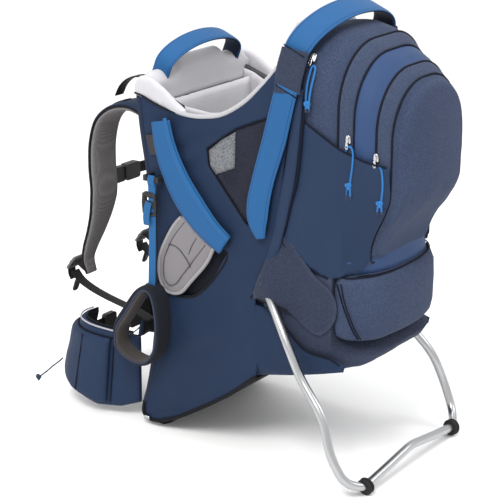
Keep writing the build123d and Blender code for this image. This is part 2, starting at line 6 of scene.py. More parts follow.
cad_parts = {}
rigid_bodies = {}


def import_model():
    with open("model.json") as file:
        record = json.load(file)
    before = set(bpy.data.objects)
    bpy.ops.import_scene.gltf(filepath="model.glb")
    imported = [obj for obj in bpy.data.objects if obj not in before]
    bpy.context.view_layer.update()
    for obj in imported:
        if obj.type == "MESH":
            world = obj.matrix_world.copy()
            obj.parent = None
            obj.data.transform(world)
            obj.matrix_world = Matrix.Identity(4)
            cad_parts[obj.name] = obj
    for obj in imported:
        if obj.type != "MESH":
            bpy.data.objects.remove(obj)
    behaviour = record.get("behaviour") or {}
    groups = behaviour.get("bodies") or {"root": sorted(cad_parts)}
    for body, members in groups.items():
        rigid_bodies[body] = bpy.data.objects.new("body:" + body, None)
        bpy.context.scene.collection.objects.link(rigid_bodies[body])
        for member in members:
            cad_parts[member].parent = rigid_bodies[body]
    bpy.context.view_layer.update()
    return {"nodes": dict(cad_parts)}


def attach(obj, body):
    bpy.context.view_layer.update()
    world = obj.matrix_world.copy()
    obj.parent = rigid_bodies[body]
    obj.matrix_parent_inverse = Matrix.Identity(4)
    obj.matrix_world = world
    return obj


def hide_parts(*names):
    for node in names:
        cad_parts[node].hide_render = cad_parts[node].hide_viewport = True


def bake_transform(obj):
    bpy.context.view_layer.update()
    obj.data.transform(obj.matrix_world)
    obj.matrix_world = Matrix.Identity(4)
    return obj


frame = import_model()
NODES = frame["nodes"]
MM = 0.001


# ------------------------------------------------------------ materials
class Mat:
    """A procedural material built around one Principled shader."""

    def __init__(self, name, rough=0.8, metallic=0.0, sheen=0.0, sheen_rough=0.5, coat=0.0, spec=0.5):
        self.m = bpy.data.materials.new(name)
        self.m.use_nodes = True
        self.nt = self.m.node_tree
        self.nt.nodes.clear()
        out = self.nt.nodes.new("ShaderNodeOutputMaterial")
        self.b = self.nt.nodes.new("ShaderNodeBsdfPrincipled")
        self.nt.links.new(self.b.outputs[0], out.inputs[0])
        self.b.inputs["Roughness"].default_value = rough
        self.b.inputs["Metallic"].default_value = metallic
        self.b.inputs["Sheen Weight"].default_value = sheen
        self.b.inputs["Sheen Roughness"].default_value = sheen_rough
        self.b.inputs["Coat Weight"].default_value = coat
        self.b.inputs["Specular IOR Level"].default_value = spec
        self.coord = self.nt.nodes.new("ShaderNodeTexCoord")

    def new(self, kind, **values):
        n = self.nt.nodes.new(kind)
        for k, v in values.items():
            if k in n.inputs:
                n.inputs[k].default_value = v
            else:
                setattr(n, k, v)
        return n

    def link(self, a, b):
        self.nt.links.new(a, b)
        return b

    def mapped(self, scale, source="Object", rotation=(0, 0, 0)):
        n = self.new("ShaderNodeMapping")
        n.inputs["Scale"].default_value = scale
        n.inputs["Rotation"].default_value = rotation
        self.link(self.coord.outputs[source], n.inputs["Vector"])
        return n.outputs[0]

    def noise(self, scale, detail=2.0, rough=0.5, vector=None, distortion=0.0):
        n = self.new("ShaderNodeTexNoise")
        n.inputs["Scale"].default_value = scale
        n.inputs["Detail"].default_value = detail
        n.inputs["Roughness"].default_value = rough
        n.inputs["Distortion"].default_value = distortion
        self.link(vector or self.coord.outputs["Object"], n.inputs["Vector"])
        return n.outputs[0]

    def wave(self, scale, vector, direction="X", profile="SIN", distortion=0.0):
        n = self.new("ShaderNodeTexWave")
        n.wave_type = "BANDS"
        n.bands_direction = direction
        n.wave_profile = profile
        n.inputs["Scale"].default_value = scale
        n.inputs["Distortion"].default_value = distortion
        self.link(vector, n.inputs["Vector"])
        return n.outputs["Fac"]

    def math(self, op, a, b=None, clamp=False):
        n = self.new("ShaderNodeMath")
        n.operation = op
        n.use_clamp = clamp
        for i, v in enumerate((a, b)):
            if v is None:
                continue
            if isinstance(v, (int, float)):
                n.inputs[i].default_value = v
            else:
                self.link(v, n.inputs[i])
        return n.outputs[0]

    def ramp(self, value, stops):
        n = self.new("ShaderNodeValToRGB")
        el = n.color_ramp.elements
        while len(el) < len(stops):
            el.new(0.5)
        for e, (p, c) in zip(el, stops):
            e.position = p
            e.color = (*c, 1)
        self.link(value, n.inputs[0])
        return n.outputs[0]

    def mix(self, fac, a, b, blend="MIX"):
        n = self.new("ShaderNodeMix")
        n.data_type = "RGBA"
        n.blend_type = blend
        for i, v in ((0, fac), (6, a), (7, b)):
            if isinstance(v, (int, float)):
                n.inputs[i].default_value = v
            elif isinstance(v, tuple):
                n.inputs[i].default_value = (*v, 1)
            else:
                self.link(v, n.inputs[i])
        return n.outputs[2]

    def bump(self, height, strength, distance):
        n = self.new("ShaderNodeBump")
        n.inputs["Strength"].default_value = strength
        n.inputs["Distance"].default_value = distance
        self.link(height, n.inputs["Height"])
        self.link(n.outputs[0], self.b.inputs["Normal"])

    def colour(self, value):
        self.link(value, self.b.inputs["Base Color"])


def fine_weave(m, pitch):
    """A plain weave in the three row directions, about pitch metres from thread to thread."""
    s = 0.314 / pitch
    ob = m.coord.outputs["Object"]
    a = m.wave(s, ob, "X")
    b = m.wave(s, ob, "Y")
    c = m.wave(s, ob, "Z")
    return m.math("MULTIPLY", m.math("MAXIMUM", a, b), c)


def wear(m, base, light, amount=0.35):
    """Slightly paler fabric along folds and corners."""
    g = m.new("ShaderNodeNewGeometry")
    edge = m.ramp(g.outputs["Pointiness"], [(0.53, (0, 0, 0)), (0.62, (1, 1, 1))])
    return m.mix(m.math("MULTIPLY", edge, amount), base, light)


def cloth(name, dark, light, pitch=0.0009, rough=0.82, sheen=0.25, mottle=0.25, bump=0.35, wrinkle=0.0):
    m = Mat(name, rough=rough, sheen=sheen, spec=0.14)
    weave = fine_weave(m, pitch)
    big = m.noise(9, 3, 0.55)
    base = m.mix(m.math("MULTIPLY", big, mottle * 2), dark, light)
    base = m.mix(m.math("MULTIPLY", weave, 0.3), base, light)
    m.colour(wear(m, base, tuple(min(1, v * 1.6) for v in light), 0.25))
    h = m.math("ADD", m.math("MULTIPLY", weave, 0.6), m.math("MULTIPLY", m.noise(700, 2, 0.6), 0.5))
    if wrinkle:
        h = m.math("ADD", h, m.math("MULTIPLY", m.noise(38, 4, 0.6, distortion=0.8), wrinkle))
    m.bump(h, bump, 0.0005)
    return m.m


def heather(name, dark, light, pitch=0.0011, bump=0.4):
    m = Mat(name, rough=0.9, sheen=0.03, spec=0.1)
    weave = fine_weave(m, pitch)
    streak = m.noise(430, 3, 0.7, m.mapped((1, 1, 3.6)))
    fleck = m.noise(1500, 2, 0.6, m.mapped((1, 1, 1.8)))
    two = m.math("ADD", m.math("MULTIPLY", streak, 0.7), m.math("MULTIPLY", fleck, 0.5))
    tone = m.ramp(two, [(0.38, dark), (0.6, tuple(a * 0.5 + b * 0.42 for a, b in zip(dark, light))), (0.8, light)])
    big = m.noise(7, 2, 0.5)
    tone = m.mix(m.math("MULTIPLY", big, 0.35), tone, dark)
    m.colour(wear(m, tone, tuple(min(1, v * 1.5) for v in light), 0.3))
    m.bump(m.math("ADD", m.math("MULTIPLY", weave, 0.5), m.math("MULTIPLY", streak, 0.9)), bump, 0.0006)
    return m.m


def webbing(name, base, light, stitch=None, rib=0.16, rough=0.62, sheen=0.35, bump=0.5):
    """Woven strap: ribs across it, twill flecks, and two stitched lines. UV: x across from 0 to 1, y along in cm."""
    m = Mat(name, rough=rough, sheen=sheen, spec=0.2)
    uv = m.coord.outputs["UV"]
    sep = m.new("ShaderNodeSeparateXYZ")
    m.link(uv, sep.inputs[0])
    u, v = sep.outputs[0], sep.outputs[1]
    ribs = m.wave(0.314 / rib, uv, "Y")
    twill = m.noise(420, 2, 0.6)
    base_c = m.mix(m.math("MULTIPLY", ribs, 0.35), base, light)
    base_c = m.mix(m.math("MULTIPLY", m.noise(14, 2, 0.5), 0.35), base_c, tuple(c * 0.72 for c in base))
    base_c = m.mix(m.math("MULTIPLY", twill, 0.22), base_c, light)
    height = m.math("ADD", m.math("MULTIPLY", ribs, 0.6), m.math("MULTIPLY", twill, 0.4))
    if stitch:
        off = m.math("ABSOLUTE", m.math("SUBTRACT", m.math("ABSOLUTE", m.math("SUBTRACT", u, 0.5)), 0.4))
        line = m.math("LESS_THAN", off, 0.016)
        dash = m.math("LESS_THAN", m.math("FRACT", m.math("MULTIPLY", v, 2.6)), 0.68)
        mask = m.math("MULTIPLY", line, dash)
        base_c = m.mix(mask, base_c, stitch)
        height = m.math("ADD", height, m.math("MULTIPLY", mask, 0.6))
    m.colour(wear(m, base_c, light, 0.3))
    m.bump(height, bump, 0.0004)
    return m.m


def mesh_cloth(name, dark, light, cell=0.0028, bump=0.9, rough=0.85):
    """Open spacer mesh: a lattice of round cells."""
    m = Mat(name, rough=rough, sheen=0.03, spec=0.12)
    v = m.new("ShaderNodeTexVoronoi")
    v.inputs["Scale"].default_value = 1 / cell
    v.inputs["Randomness"].default_value = 0.35
    m.link(m.coord.outputs["Object"], v.inputs["Vector"])
    d = v.outputs["Distance"]
    c = m.ramp(d, [(0.25, dark), (0.6, light)])
    c = m.mix(m.math("MULTIPLY", m.noise(12, 2, 0.5), 0.3), c, dark)
    m.colour(c)
    m.bump(d, bump, 0.0008)
    return m.m


def plastic(name, base, rough=0.45, grain=900):
    m = Mat(name, rough=rough, spec=0.3)
    n = m.noise(grain, 2, 0.5)
    g = m.new("ShaderNodeNewGeometry")
    edge = m.ramp(g.outputs["Pointiness"], [(0.52, (0, 0, 0)), (0.6, (1, 1, 1))])
    m.colour(m.mix(m.math("MULTIPLY", edge, 0.4), m.mix(m.math("MULTIPLY", n, 0.3), base, tuple(v * 0.6 for v in base)), tuple(min(1, v * 3 + 0.02) for v in base)))
    m.link(m.math("ADD", m.math("MULTIPLY", m.noise(60, 2), 0.25), rough - 0.1), m.b.inputs["Roughness"])
    m.bump(n, 0.25, 0.0002)
    return m.m


def steel(name, base, rough=0.16):
    m = Mat(name, rough=rough, metallic=1.0)
    scratch = m.noise(260, 4, 0.65, m.mapped((1, 1, 0.18)))
    smear = m.noise(18, 3, 0.6)
    m.colour(m.mix(m.math("MULTIPLY", smear, 0.3), base, tuple(v * 0.84 for v in base)))
    m.link(m.math("ADD", m.math("MULTIPLY", scratch, 0.08), rough - 0.04), m.b.inputs["Roughness"])
    m.bump(scratch, 0.03, 0.0001)
    return m.m


NAVY = cloth("navy_body", (0.007, 0.0165, 0.042), (0.0135, 0.029, 0.069), rough=0.62, sheen=0.02, mottle=0.3, bump=0.45, wrinkle=0.5)
NAVY_SMOOTH = cloth("navy_smooth", (0.010, 0.021, 0.05), (0.018, 0.035, 0.079), pitch=0.0007, rough=0.6, sheen=0.02, mottle=0.3, bump=0.35, wrinkle=0.4)
MID_BLUE = cloth("mid_blue", (0.02, 0.044, 0.11), (0.036, 0.07, 0.165), pitch=0.0007, rough=0.58, sheen=0.03, bump=0.3, wrinkle=0.3)
HEATHER = heather("heather_navy", (0.008, 0.014, 0.036), (0.082, 0.108, 0.185))
HEATHER_BAND = heather("heather_binding", (0.012, 0.02, 0.046), (0.088, 0.112, 0.18), pitch=0.0009)
# A darker copy of the heather, matched to its less-lit lower parts: on the pivot hood and the bag base it is painted
# shade. The handle sleeves and the stirrup edges use the same darker heather.
HEATHER_DARK = heather("heather_low", (0.008, 0.0115, 0.025), (0.058, 0.072, 0.115))
STIRRUP_CLOTH = heather("heather_stirrup", (0.006, 0.007, 0.012), (0.026, 0.029, 0.04))
BLUE = webbing("blue_webbing", (0.007, 0.072, 0.205), (0.02, 0.115, 0.28), stitch=(0.004, 0.03, 0.12), rib=0.14, sheen=0.04)
BLUE_NARROW = webbing("blue_webbing_narrow", (0.008, 0.08, 0.225), (0.022, 0.125, 0.3), rib=0.12, sheen=0.04)
NAVY_WEB = webbing("navy_webbing", (0.006, 0.012, 0.032), (0.014, 0.024, 0.055), rib=0.14, sheen=0.02)
BLACK_WEB = webbing("black_webbing", (0.006, 0.006, 0.007), (0.024, 0.024, 0.026), rib=0.12, sheen=0.02)
LINER = cloth("light_liner", (0.43, 0.425, 0.45), (0.53, 0.525, 0.55), pitch=0.0012, rough=0.95, sheen=0.1, bump=0.35, mottle=0.2, wrinkle=0.35)
LINER_EDGE = webbing("liner_piping", (0.36, 0.36, 0.38), (0.46, 0.46, 0.48), rib=0.1, sheen=0.05)
PAD = cloth("thigh_grey", (0.155, 0.147, 0.155), (0.215, 0.205, 0.215), pitch=0.0013, rough=0.95, sheen=0.08, wrinkle=0.3)
PAD_EDGE = cloth("thigh_binding", (0.22, 0.215, 0.225), (0.3, 0.29, 0.3), pitch=0.001, rough=0.9, sheen=0.05)
STRAP_MESH = mesh_cloth("strap_mesh", (0.085, 0.08, 0.083), (0.18, 0.17, 0.175), cell=0.0017, bump=0.4)
BACK_MESH = mesh_cloth("back_mesh", (0.05, 0.05, 0.052), (0.2, 0.195, 0.2), cell=0.0036)
WINDOW_MESH = mesh_cloth("window_mesh", (0.004, 0.005, 0.011), (0.02, 0.022, 0.036), cell=0.002)
PATCH_MESH = mesh_cloth("patch_mesh", (0.03, 0.035, 0.045), (0.2, 0.205, 0.22), cell=0.0022)
FOOT_LINING = cloth("stirrup_lining", (0.045, 0.04, 0.04), (0.085, 0.075, 0.074), pitch=0.0012, rough=0.95, sheen=0.05)
PAD_SEAM = cloth("pad_stitching", (0.05, 0.048, 0.052), (0.09, 0.086, 0.09), pitch=0.0008, rough=0.9, sheen=0.0, bump=0.2)
SEAM = cloth("seam_dark", (0.003, 0.004, 0.009), (0.008, 0.01, 0.018), pitch=0.0008, rough=0.8, sheen=0.0, bump=0.2)
BLACK_FABRIC = cloth("black_fabric", (0.004, 0.0045, 0.006), (0.012, 0.0125, 0.016), rough=0.8, sheen=0.01)
# Near-black cloth used only for the sheets that paint the shade inside the cockpit, seen through the leg openings and
# the mesh windows.
INNER_PAINTED_SHADE = cloth("inner_dark", (0.006, 0.006, 0.011), (0.016, 0.016, 0.026), rough=0.9, sheen=0.01)
THREAD = cloth("stitch_thread", (0.05, 0.07, 0.12), (0.09, 0.12, 0.19), pitch=0.0006, rough=0.7, sheen=0.02, bump=0.2)
CORD = webbing("blue_cord", (0.01, 0.1, 0.31), (0.04, 0.22, 0.52), rib=0.1, sheen=0.04)
CORD_DARK = webbing("navy_cord", (0.012, 0.022, 0.05), (0.04, 0.06, 0.11), rib=0.1, sheen=0.03)
BLACK_PLASTIC = plastic("black_plastic", (0.007, 0.007, 0.008))
GREY_PLASTIC = plastic("grey_plastic", (0.055, 0.055, 0.058), rough=0.5)
RUBBER = plastic("black_rubber", (0.006, 0.006, 0.0065), rough=0.6, grain=500)
STEEL = steel("polished_tube", (0.44, 0.445, 0.455), rough=0.3)
ZIP_METAL = steel("zip_metal", (0.5, 0.5, 0.515), rough=0.26)
PAINTED = plastic("painted_tube", (0.012, 0.012, 0.014), rough=0.35, grain=1400)


# ------------------------------------------------------------ mesh helpers
def build(name, verts, faces, mat, body, uvs=None, replaces=(), pad=None, smooth=True, face_mats=None):
    me = bpy.data.meshes.new(name)
    me.from_pydata([tuple(v) for v in (np.asarray(verts, float) * MM)], [], [tuple(int(i) for i in f) for f in faces])
    mats = [mat] if not isinstance(mat, (list, tuple)) else list(mat)
    for one in mats:
        me.materials.append(one)
    if uvs is not None:
        layer = me.uv_layers.new(name="UVMap")
        li = np.zeros(len(me.loops), np.int32)
        me.loops.foreach_get("vertex_index", li)
        layer.data.foreach_set("uv", np.asarray(uvs, np.float32)[li].ravel())
    me.polygons.foreach_set("use_smooth", [smooth] * len(me.polygons))
    if face_mats is not None:
        me.polygons.foreach_set("material_index", list(face_mats))
    me.update()
    o = bpy.data.objects.new(name, me)
    bpy.context.scene.collection.objects.link(o)
    bm = bmesh.new()
    bm.from_mesh(me)
    bmesh.ops.recalc_face_normals(bm, faces=bm.faces)
    bm.to_mesh(me)
    bm.free()
    return settle(o, body, replaces)


def settle(o, body, replaces=()):
    if body:
        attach(o, body)
    if replaces:
        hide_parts(*([replaces] if isinstance(replaces, str) else replaces))
    return o


def mirror_of(o, name, body, replaces=()):
    """The same piece on the other side of the mid plane."""
    me = o.data.copy()
    me.transform(Matrix.Scale(-1, 4, (1, 0, 0)))
    me.flip_normals()
    c = bpy.data.objects.new(name, me)
    bpy.context.scene.collection.objects.link(c)
    for mod in o.modifiers:
        if mod.type == "BEVEL":
            b = c.modifiers.new(mod.name, "BEVEL")
            b.width, b.segments, b.limit_method, b.angle_limit = mod.width, mod.segments, mod.limit_method, mod.angle_limit
    return settle(c, body, replaces)


def spline(points, n=60, closed=False):
    """Points along a smooth curve through the given points, evenly spaced."""
    P = np.asarray(points, float)
    k = len(P)
    out = []
    segs = k if closed else k - 1
    for i in range(segs):
        if closed:
            a, b, c, d = P[(i - 1) % k], P[i], P[(i + 1) % k], P[(i + 2) % k]
        else:
            b, c = P[i], P[i + 1]
            a = P[i - 1] if i > 0 else 2 * b - c
            d = P[i + 2] if i + 2 < k else 2 * c - b
        t0 = 0.0
        t1 = t0 + max(np.linalg.norm(b - a), 1e-6) ** 0.5
        t2 = t1 + max(np.linalg.norm(c - b), 1e-6) ** 0.5
        t3 = t2 + max(np.linalg.norm(d - c), 1e-6) ** 0.5
        for s in np.linspace(0, 1, 12, endpoint=False):
            t = t1 + (t2 - t1) * s
            A1 = (t1 - t) / (t1 - t0) * a + (t - t0) / (t1 - t0) * b
            A2 = (t2 - t) / (t2 - t1) * b + (t - t1) / (t2 - t1) * c
            A3 = (t3 - t) / (t3 - t2) * c + (t - t2) / (t3 - t2) * d
            B1 = (t2 - t) / (t2 - t0) * A1 + (t - t0) / (t2 - t0) * A2
            B2 = (t3 - t) / (t3 - t1) * A2 + (t - t1) / (t3 - t1) * A3
            out.append((t2 - t) / (t2 - t1) * B1 + (t - t1) / (t2 - t1) * B2)
    out.append(P[0] if closed else P[-1])
    return even(np.array(out), n, closed)


def even(P, n, closed=False):
    P = np.asarray(P, float)
    d = np.r_[0, np.cumsum(np.linalg.norm(np.diff(P, axis=0), axis=1))]
    s = np.linspace(0, d[-1], n + 1)[:-1] if closed else np.linspace(0, d[-1], n)
    return np.stack([np.interp(s, d, P[:, i]) for i in range(P.shape[1])], 1)


def fillet(points, radii, step=3.0):
    """A run of straight lines with round corners, as dense points."""
    P = [np.asarray(p, float) for p in points]
    out = [P[0]]
    for a, b, c, r in zip(P, P[1:], P[2:], radii):
        u, v = (a - b) / np.linalg.norm(a - b), (c - b) / np.linalg.norm(c - b)
        ang = math.acos(max(-1, min(1, float(u @ v))))
        if ang > math.pi - 1e-3:
            out.append(b)
            continue
        back = r / math.tan(ang / 2)
        s, e = b + u * back, b + v * back
        w = (u + v) / np.linalg.norm(u + v)
        centre = b + w * (r / math.sin(ang / 2))
        sweep = math.pi - ang
        n = max(3, int(r * sweep / step) + 2)
        e1 = (s - centre) / r
        e2 = (e - centre) / r
        for i in range(n):
            t = i / (n - 1)
            q = (math.sin((1 - t) * sweep) * e1 + math.sin(t * sweep) * e2) / math.sin(sweep)
            out.append(centre + q * r)
    out.append(P[-1])
    return np.array(out)


def tangents(P, closed=False):
    if closed:
        T = np.roll(P, -1, 0) - np.roll(P, 1, 0)
    else:
        T = np.gradient(P, axis=0)
    return T / np.maximum(np.linalg.norm(T, axis=1, keepdims=True), 1e-9)


def sweep(name, P, W, N, a, b, mat, body, closed=False, **kw):
    """Rings of section offsets (a across, b up) along P. a and b are arrays (rings, points)."""
    n, k = a.shape
    V = P[:, None, :] + W[:, None, :] * a[..., None] + N[:, None, :] * b[..., None]
    V = V.reshape(-1, 3)
    d = np.r_[0, np.cumsum(np.linalg.norm(np.diff(P, axis=0), axis=1))]
    half = np.maximum(np.abs(a).max(axis=1, keepdims=True), 1e-6)
    uv = np.stack([a / half / 2 + 0.5, np.repeat(d[:, None] / 10, k, 1)], -1).reshape(-1, 2)
    F = []
    rows = n if closed else n - 1
    for i in range(rows):
        i2 = (i + 1) % n
        for j in range(k):
            j2 = (j + 1) % k
            F.append((i * k + j, i2 * k + j, i2 * k + j2, i * k + j2))
    if not closed:
        F.append(tuple(range(k))[::-1])
        F.append(tuple((n - 1) * k + j for j in range(k)))
    return build(name, V, F, mat, body, uvs=uv, **kw)


def tube(name, P, r, mat, body, closed=False, n=12, **kw):
    P = np.asarray(P, float)
    T = tangents(P, closed)
    ref = np.array([0, 0, 1.0]) if abs(T[0] @ np.array([0, 0, 1.0])) < 0.9 else np.array([1.0, 0, 0])
    w = ref - (ref @ T[0]) * T[0]
    w /= np.linalg.norm(w)
    W = [w]
    for i in range(1, len(P)):
        w = W[-1] - (W[-1] @ T[i]) * T[i]
        W.append(w / np.linalg.norm(w))
    W = np.array(W)
    if closed:
        twist = math.atan2(float(np.cross(W[-1], W[0]) @ T[0]), float(W[-1] @ W[0]))
        for i in range(len(P)):
            ang = twist * i / len(P)
            W[i] = W[i] * math.cos(ang) + np.cross(T[i], W[i]) * math.sin(ang)
    N = np.cross(T, W)
    th = np.linspace(0, 2 * math.pi, n, endpoint=False)
    rr = np.broadcast_to(np.asarray(r, float).reshape(-1, 1), (len(P), 1))
    return sweep(name, P, W, N, rr * np.cos(th), rr * np.sin(th), mat, body, closed, **kw)


def ribbon(name, P, W, width, thick, mat, body, closed=False, p=5.0, q=2.6, n=28, **kw):
    """A strap along P. W is the direction across it, one for all or one each."""
    P = np.asarray(P, float)
    T = tangents(P, closed)
    W = np.broadcast_to(np.asarray(W, float), P.shape)
    N = np.cross(T, W)
    N /= np.linalg.norm(N, axis=1, keepdims=True)
    W = np.cross(N, T)
    th = np.linspace(0, 2 * math.pi, n, endpoint=False)
    ca, sa = np.cos(th), np.sin(th)
    a = np.sign(ca) * np.abs(ca) ** (2 / p)
    b = np.sign(sa) * np.abs(sa) ** (2 / q)
    w = np.broadcast_to(np.asarray(width, float).reshape(-1, 1), (len(P), 1)) / 2
    t = np.broadcast_to(np.asarray(thick, float).reshape(-1, 1), (len(P), 1)) / 2
    return sweep(name, P, W, N, w * a, t * b, mat, body, closed, **kw)


def inside(poly, pts):
    x, y = pts[:, 0], pts[:, 1]
    res = np.zeros(len(pts), bool)
    n = len(poly)
    for i in range(n):
        x1, y1 = poly[i]
        x2, y2 = poly[(i + 1) % n]
        hit = (y1 > y) != (y2 > y)
        with np.errstate(divide="ignore", invalid="ignore"):
            xi = (x2 - x1) * (y - y1) / (y2 - y1) + x1
        res ^= hit & (x < xi)
    return res


def dist_to(line, pts, closed=True):
    L = np.asarray(line, float)
    A = L if closed else L[:-1]
    B = np.roll(L, -1, 0) if closed else L[1:]
    AB = B - A
    ap = pts[:, None, :] - A[None]
    t = np.clip((ap * AB).sum(-1) / np.maximum((AB * AB).sum(-1), 1e-9), 0, 1)
    return np.linalg.norm(ap - t[..., None] * AB, axis=-1).min(1)


def wobble(x, y, z, scale, seed=0.0):
    return noise.noise(Vector((x / scale + seed, y / scale + seed * 1.7, z / scale - seed)))


def panel(name, outline, place, mat, body, thick=4.0, edge=1.0, rim=12.0, holes=(), step=6.0, crown=None, seams=(), smooth_outline=False, back_flat=False, back_mat=None, **kw):
    """A closed soft slab over a 2-D outline. place(u, v, w) gives the points in the row frame, w outwards."""
    loops = []
    for lp in [outline, *holes]:
        lp = np.asarray(lp, float)
        if smooth_outline:
            q = spline(lp, max(12, int(np.linalg.norm(np.diff(np.vstack([lp, lp[:1]]), axis=0), axis=1).sum() / step)), True)
        else:
            q = []
            for a, b in zip(lp, np.roll(lp, -1, 0)):
                m = max(1, int(round(np.linalg.norm(b - a) / step)))
                q += [a + (b - a) * i / m for i in range(m)]
            q = np.array(q)
        loops.append(q)
    lo, hi = loops[0].min(0), loops[0].max(0)
    gx, gy = np.meshgrid(np.arange(lo[0], hi[0], step), np.arange(lo[1], hi[1], step * 0.87))
    gx = gx + (np.arange(gx.shape[0]) % 2)[:, None] * step / 2
    G = np.stack([gx.ravel(), gy.ravel()], 1)
    keep = inside(loops[0], G) & (dist_to(loops[0], G) > step * 0.45)
    for h in loops[1:]:
        keep &= ~inside(h, G) & (dist_to(h, G) > step * 0.45)
    G = G[keep]
    V2 = np.vstack(loops + [G])
    edges, start = [], 0
    for lp in loops:
        k = len(lp)
        edges += [(start + i, start + (i + 1) % k) for i in range(k)]
        start += k
    vo, _, fo, _, _, _ = delaunay_2d_cdt([Vector(v) for v in V2], edges, [], 0, 1e-5)
    V2 = np.array([tuple(v) for v in vo])
    tri = np.array([f for f in fo if len(f) == 3])
    cen = V2[tri].mean(1)
    ok = inside(loops[0], cen)
    for h in loops[1:]:
        ok &= ~inside(h, cen)
    tri = tri[ok]
    d = np.minimum.reduce([dist_to(lp, V2) for lp in loops])
    h = edge + (thick - edge) * np.sqrt(np.maximum(0, 1 - (1 - np.minimum(d / rim, 1)) ** 2))
    mid = np.zeros(len(V2)) if crown is None else np.array([crown(u, v) for u, v in V2])
    if crown is not None:
        mid = mid * np.minimum(1, d / rim + 0.15)
    groove = np.zeros(len(V2))
    for line, depth, width in seams:
        groove += depth * np.exp(-((dist_to(line, V2, False) / width) ** 2))
    top = mid + h / 2 - groove
    bot = mid - h / 2 if not back_flat else -h * 0 + mid * 0 - edge / 2
    n = len(V2)
    P = np.vstack([place(V2[:, 0], V2[:, 1], top), place(V2[:, 0], V2[:, 1], bot)])
    F = [tuple(t) for t in tri] + [tuple(t[::-1] + n) for t in tri]
    count = {}
    for t in tri:
        for i in range(3):
            e = (t[i], t[(i + 1) % 3])
            count[e] = count.get(e, 0) + 1
    border = [e for e in count if (e[1], e[0]) not in count]
    F += [(b, a, a + n, b + n) for a, b in border]
    uv = np.vstack([V2, V2]) / 10
    fm = None
    if back_mat is not None:
        mat = [mat, back_mat]
        fm = [0] * len(tri) + [1] * len(tri) + [0] * len(border)
    return build(name, P, F, mat, body, uvs=uv, face_mats=fm, **kw)


def on_left(x0):
    """Outward is -X at the left side."""
    return lambda u, v, w: np.stack([-(x0 + w), u, v], -1)


def flat_at(origin, U, V):
    o, U, V = (np.asarray(t, float) for t in (origin, U, V))
    U, V = U / np.linalg.norm(U), V / np.linalg.norm(V)
    N = np.cross(U, V)
    return lambda u, v, w: o + u[..., None] * U + v[..., None] * V + w[..., None] * N


def surface(name, G, mat, body, closed=True, cap=None, **kw):
    """A grid of points (rows, columns, 3). closed joins the columns; cap closes the first and last rows."""
    r, c, _ = G.shape
    V = G.reshape(-1, 3)
    F = []
    for i in range(r - 1):
        for j in range(c if closed else c - 1):
            j2 = (j + 1) % c
            F.append((i * c + j, i * c + j2, (i + 1) * c + j2, (i + 1) * c + j))
    if cap:
        F.append(tuple(range(c))[::-1])
        F.append(tuple((r - 1) * c + j for j in range(c)))
    s = np.cumsum(np.r_[0, np.linalg.norm(np.diff(G[r // 2], axis=0), axis=1)]) / 10
    t = np.cumsum(np.r_[0, np.linalg.norm(np.diff(G[:, 0], axis=0), axis=1)]) / 10
    uv = np.stack([np.repeat(s[None], r, 0), np.repeat(t[:, None], c, 1)], -1).reshape(-1, 2)
    return build(name, V, F, mat, body, uvs=uv, **kw)


def rumple(o, fn):
    """Moves each point along its normal by fn(x, y, z) millimetres."""
    me = o.data
    me.update()
    for v, nrm in [(v, v.normal.copy()) for v in me.vertices]:
        x, y, z = v.co / MM
        v.co += nrm * fn(x, y, z) * MM
    me.update()
    return o


def hard(node, mat, body, bevel=0.5):
    """A moulded or metal piece keeps its CAD shape and gets softened edges."""
    src = NODES[node]
    me = src.data.copy()
    me.materials.clear()
    me.materials.append(mat)
    o = bpy.data.objects.new(node + "_look", me)
    bpy.context.scene.collection.objects.link(o)
    if bevel:
        b = o.modifiers.new("edge", "BEVEL")
        b.width, b.segments, b.limit_method, b.angle_limit = bevel * MM, 2, "ANGLE", math.radians(40)
    for p in me.polygons:
        p.use_smooth = False
    return settle(o, body, node)


# ------------------------------------------------------------ camera, light, floor
def stage():
    cam = bpy.data.cameras.new("camera")
    cam.lens, cam.sensor_width, cam.sensor_fit = 115.2, 36.0, "HORIZONTAL"
    cam.clip_end = 50
    co = bpy.data.objects.new("camera", cam)
    bpy.context.scene.collection.objects.link(co)
    co.location = (-1.98597, -1.57472, 1.14383)
    co.rotation_euler = Vector((0.7601, 0.5624, -0.3256)).to_track_quat("-Z", "Y").to_euler()
    bpy.context.scene.camera = co
    w = bpy.data.worlds.new("studio")
    w.use_nodes = True
    w.node_tree.nodes["Background"].inputs[0].default_value = (1.0, 1.0, 1.0, 1)
    w.node_tree.nodes["Background"].inputs[1].default_value = 0.98
    bpy.context.scene.world = w
    bpy.context.scene.view_settings.view_transform = "Standard"
    for name, loc, size, power, col in (
        ("key", (-1.7, -0.7, 2.3), 1.1, 50, (1.0, 0.985, 0.965)),
        ("fill", (-1.9, 1.4, 1.1), 1.8, 6, (0.93, 0.96, 1.0)),
        ("rear", (1.2, -1.9, 1.9), 1.2, 16, (1.0, 1.0, 1.0)),
        ("top", (0.2, 0.1, 2.6), 1.2, 14, (1.0, 1.0, 1.0)),
    ):
        l = bpy.data.lights.new(name, "AREA")
        l.shape, l.size, l.energy, l.color = "DISK", size, power, col
        lo = bpy.data.objects.new(name, l)
        bpy.context.scene.collection.objects.link(lo)
        lo.location = loc
        lo.rotation_euler = (Vector((0, -0.15, 0.32)) - Vector(loc)).to_track_quat("-Z", "Y").to_euler()
    m = Mat("studio_floor", rough=0.9)
    m.colour(m.mix(m.math("MULTIPLY", m.noise(3, 2), 0.08), (0.97, 0.97, 0.97), (0.94, 0.94, 0.945)))
    me = bpy.data.meshes.new("floor")
    s = 30
    me.from_pydata([(-s, -s, 0), (s, -s, 0), (s, s, 0), (-s, s, 0)], [], [(0, 1, 2, 3)])
    me.materials.append(m.m)
    fo = bpy.data.objects.new("floor", me)
    bpy.context.scene.collection.objects.link(fo)


stage()

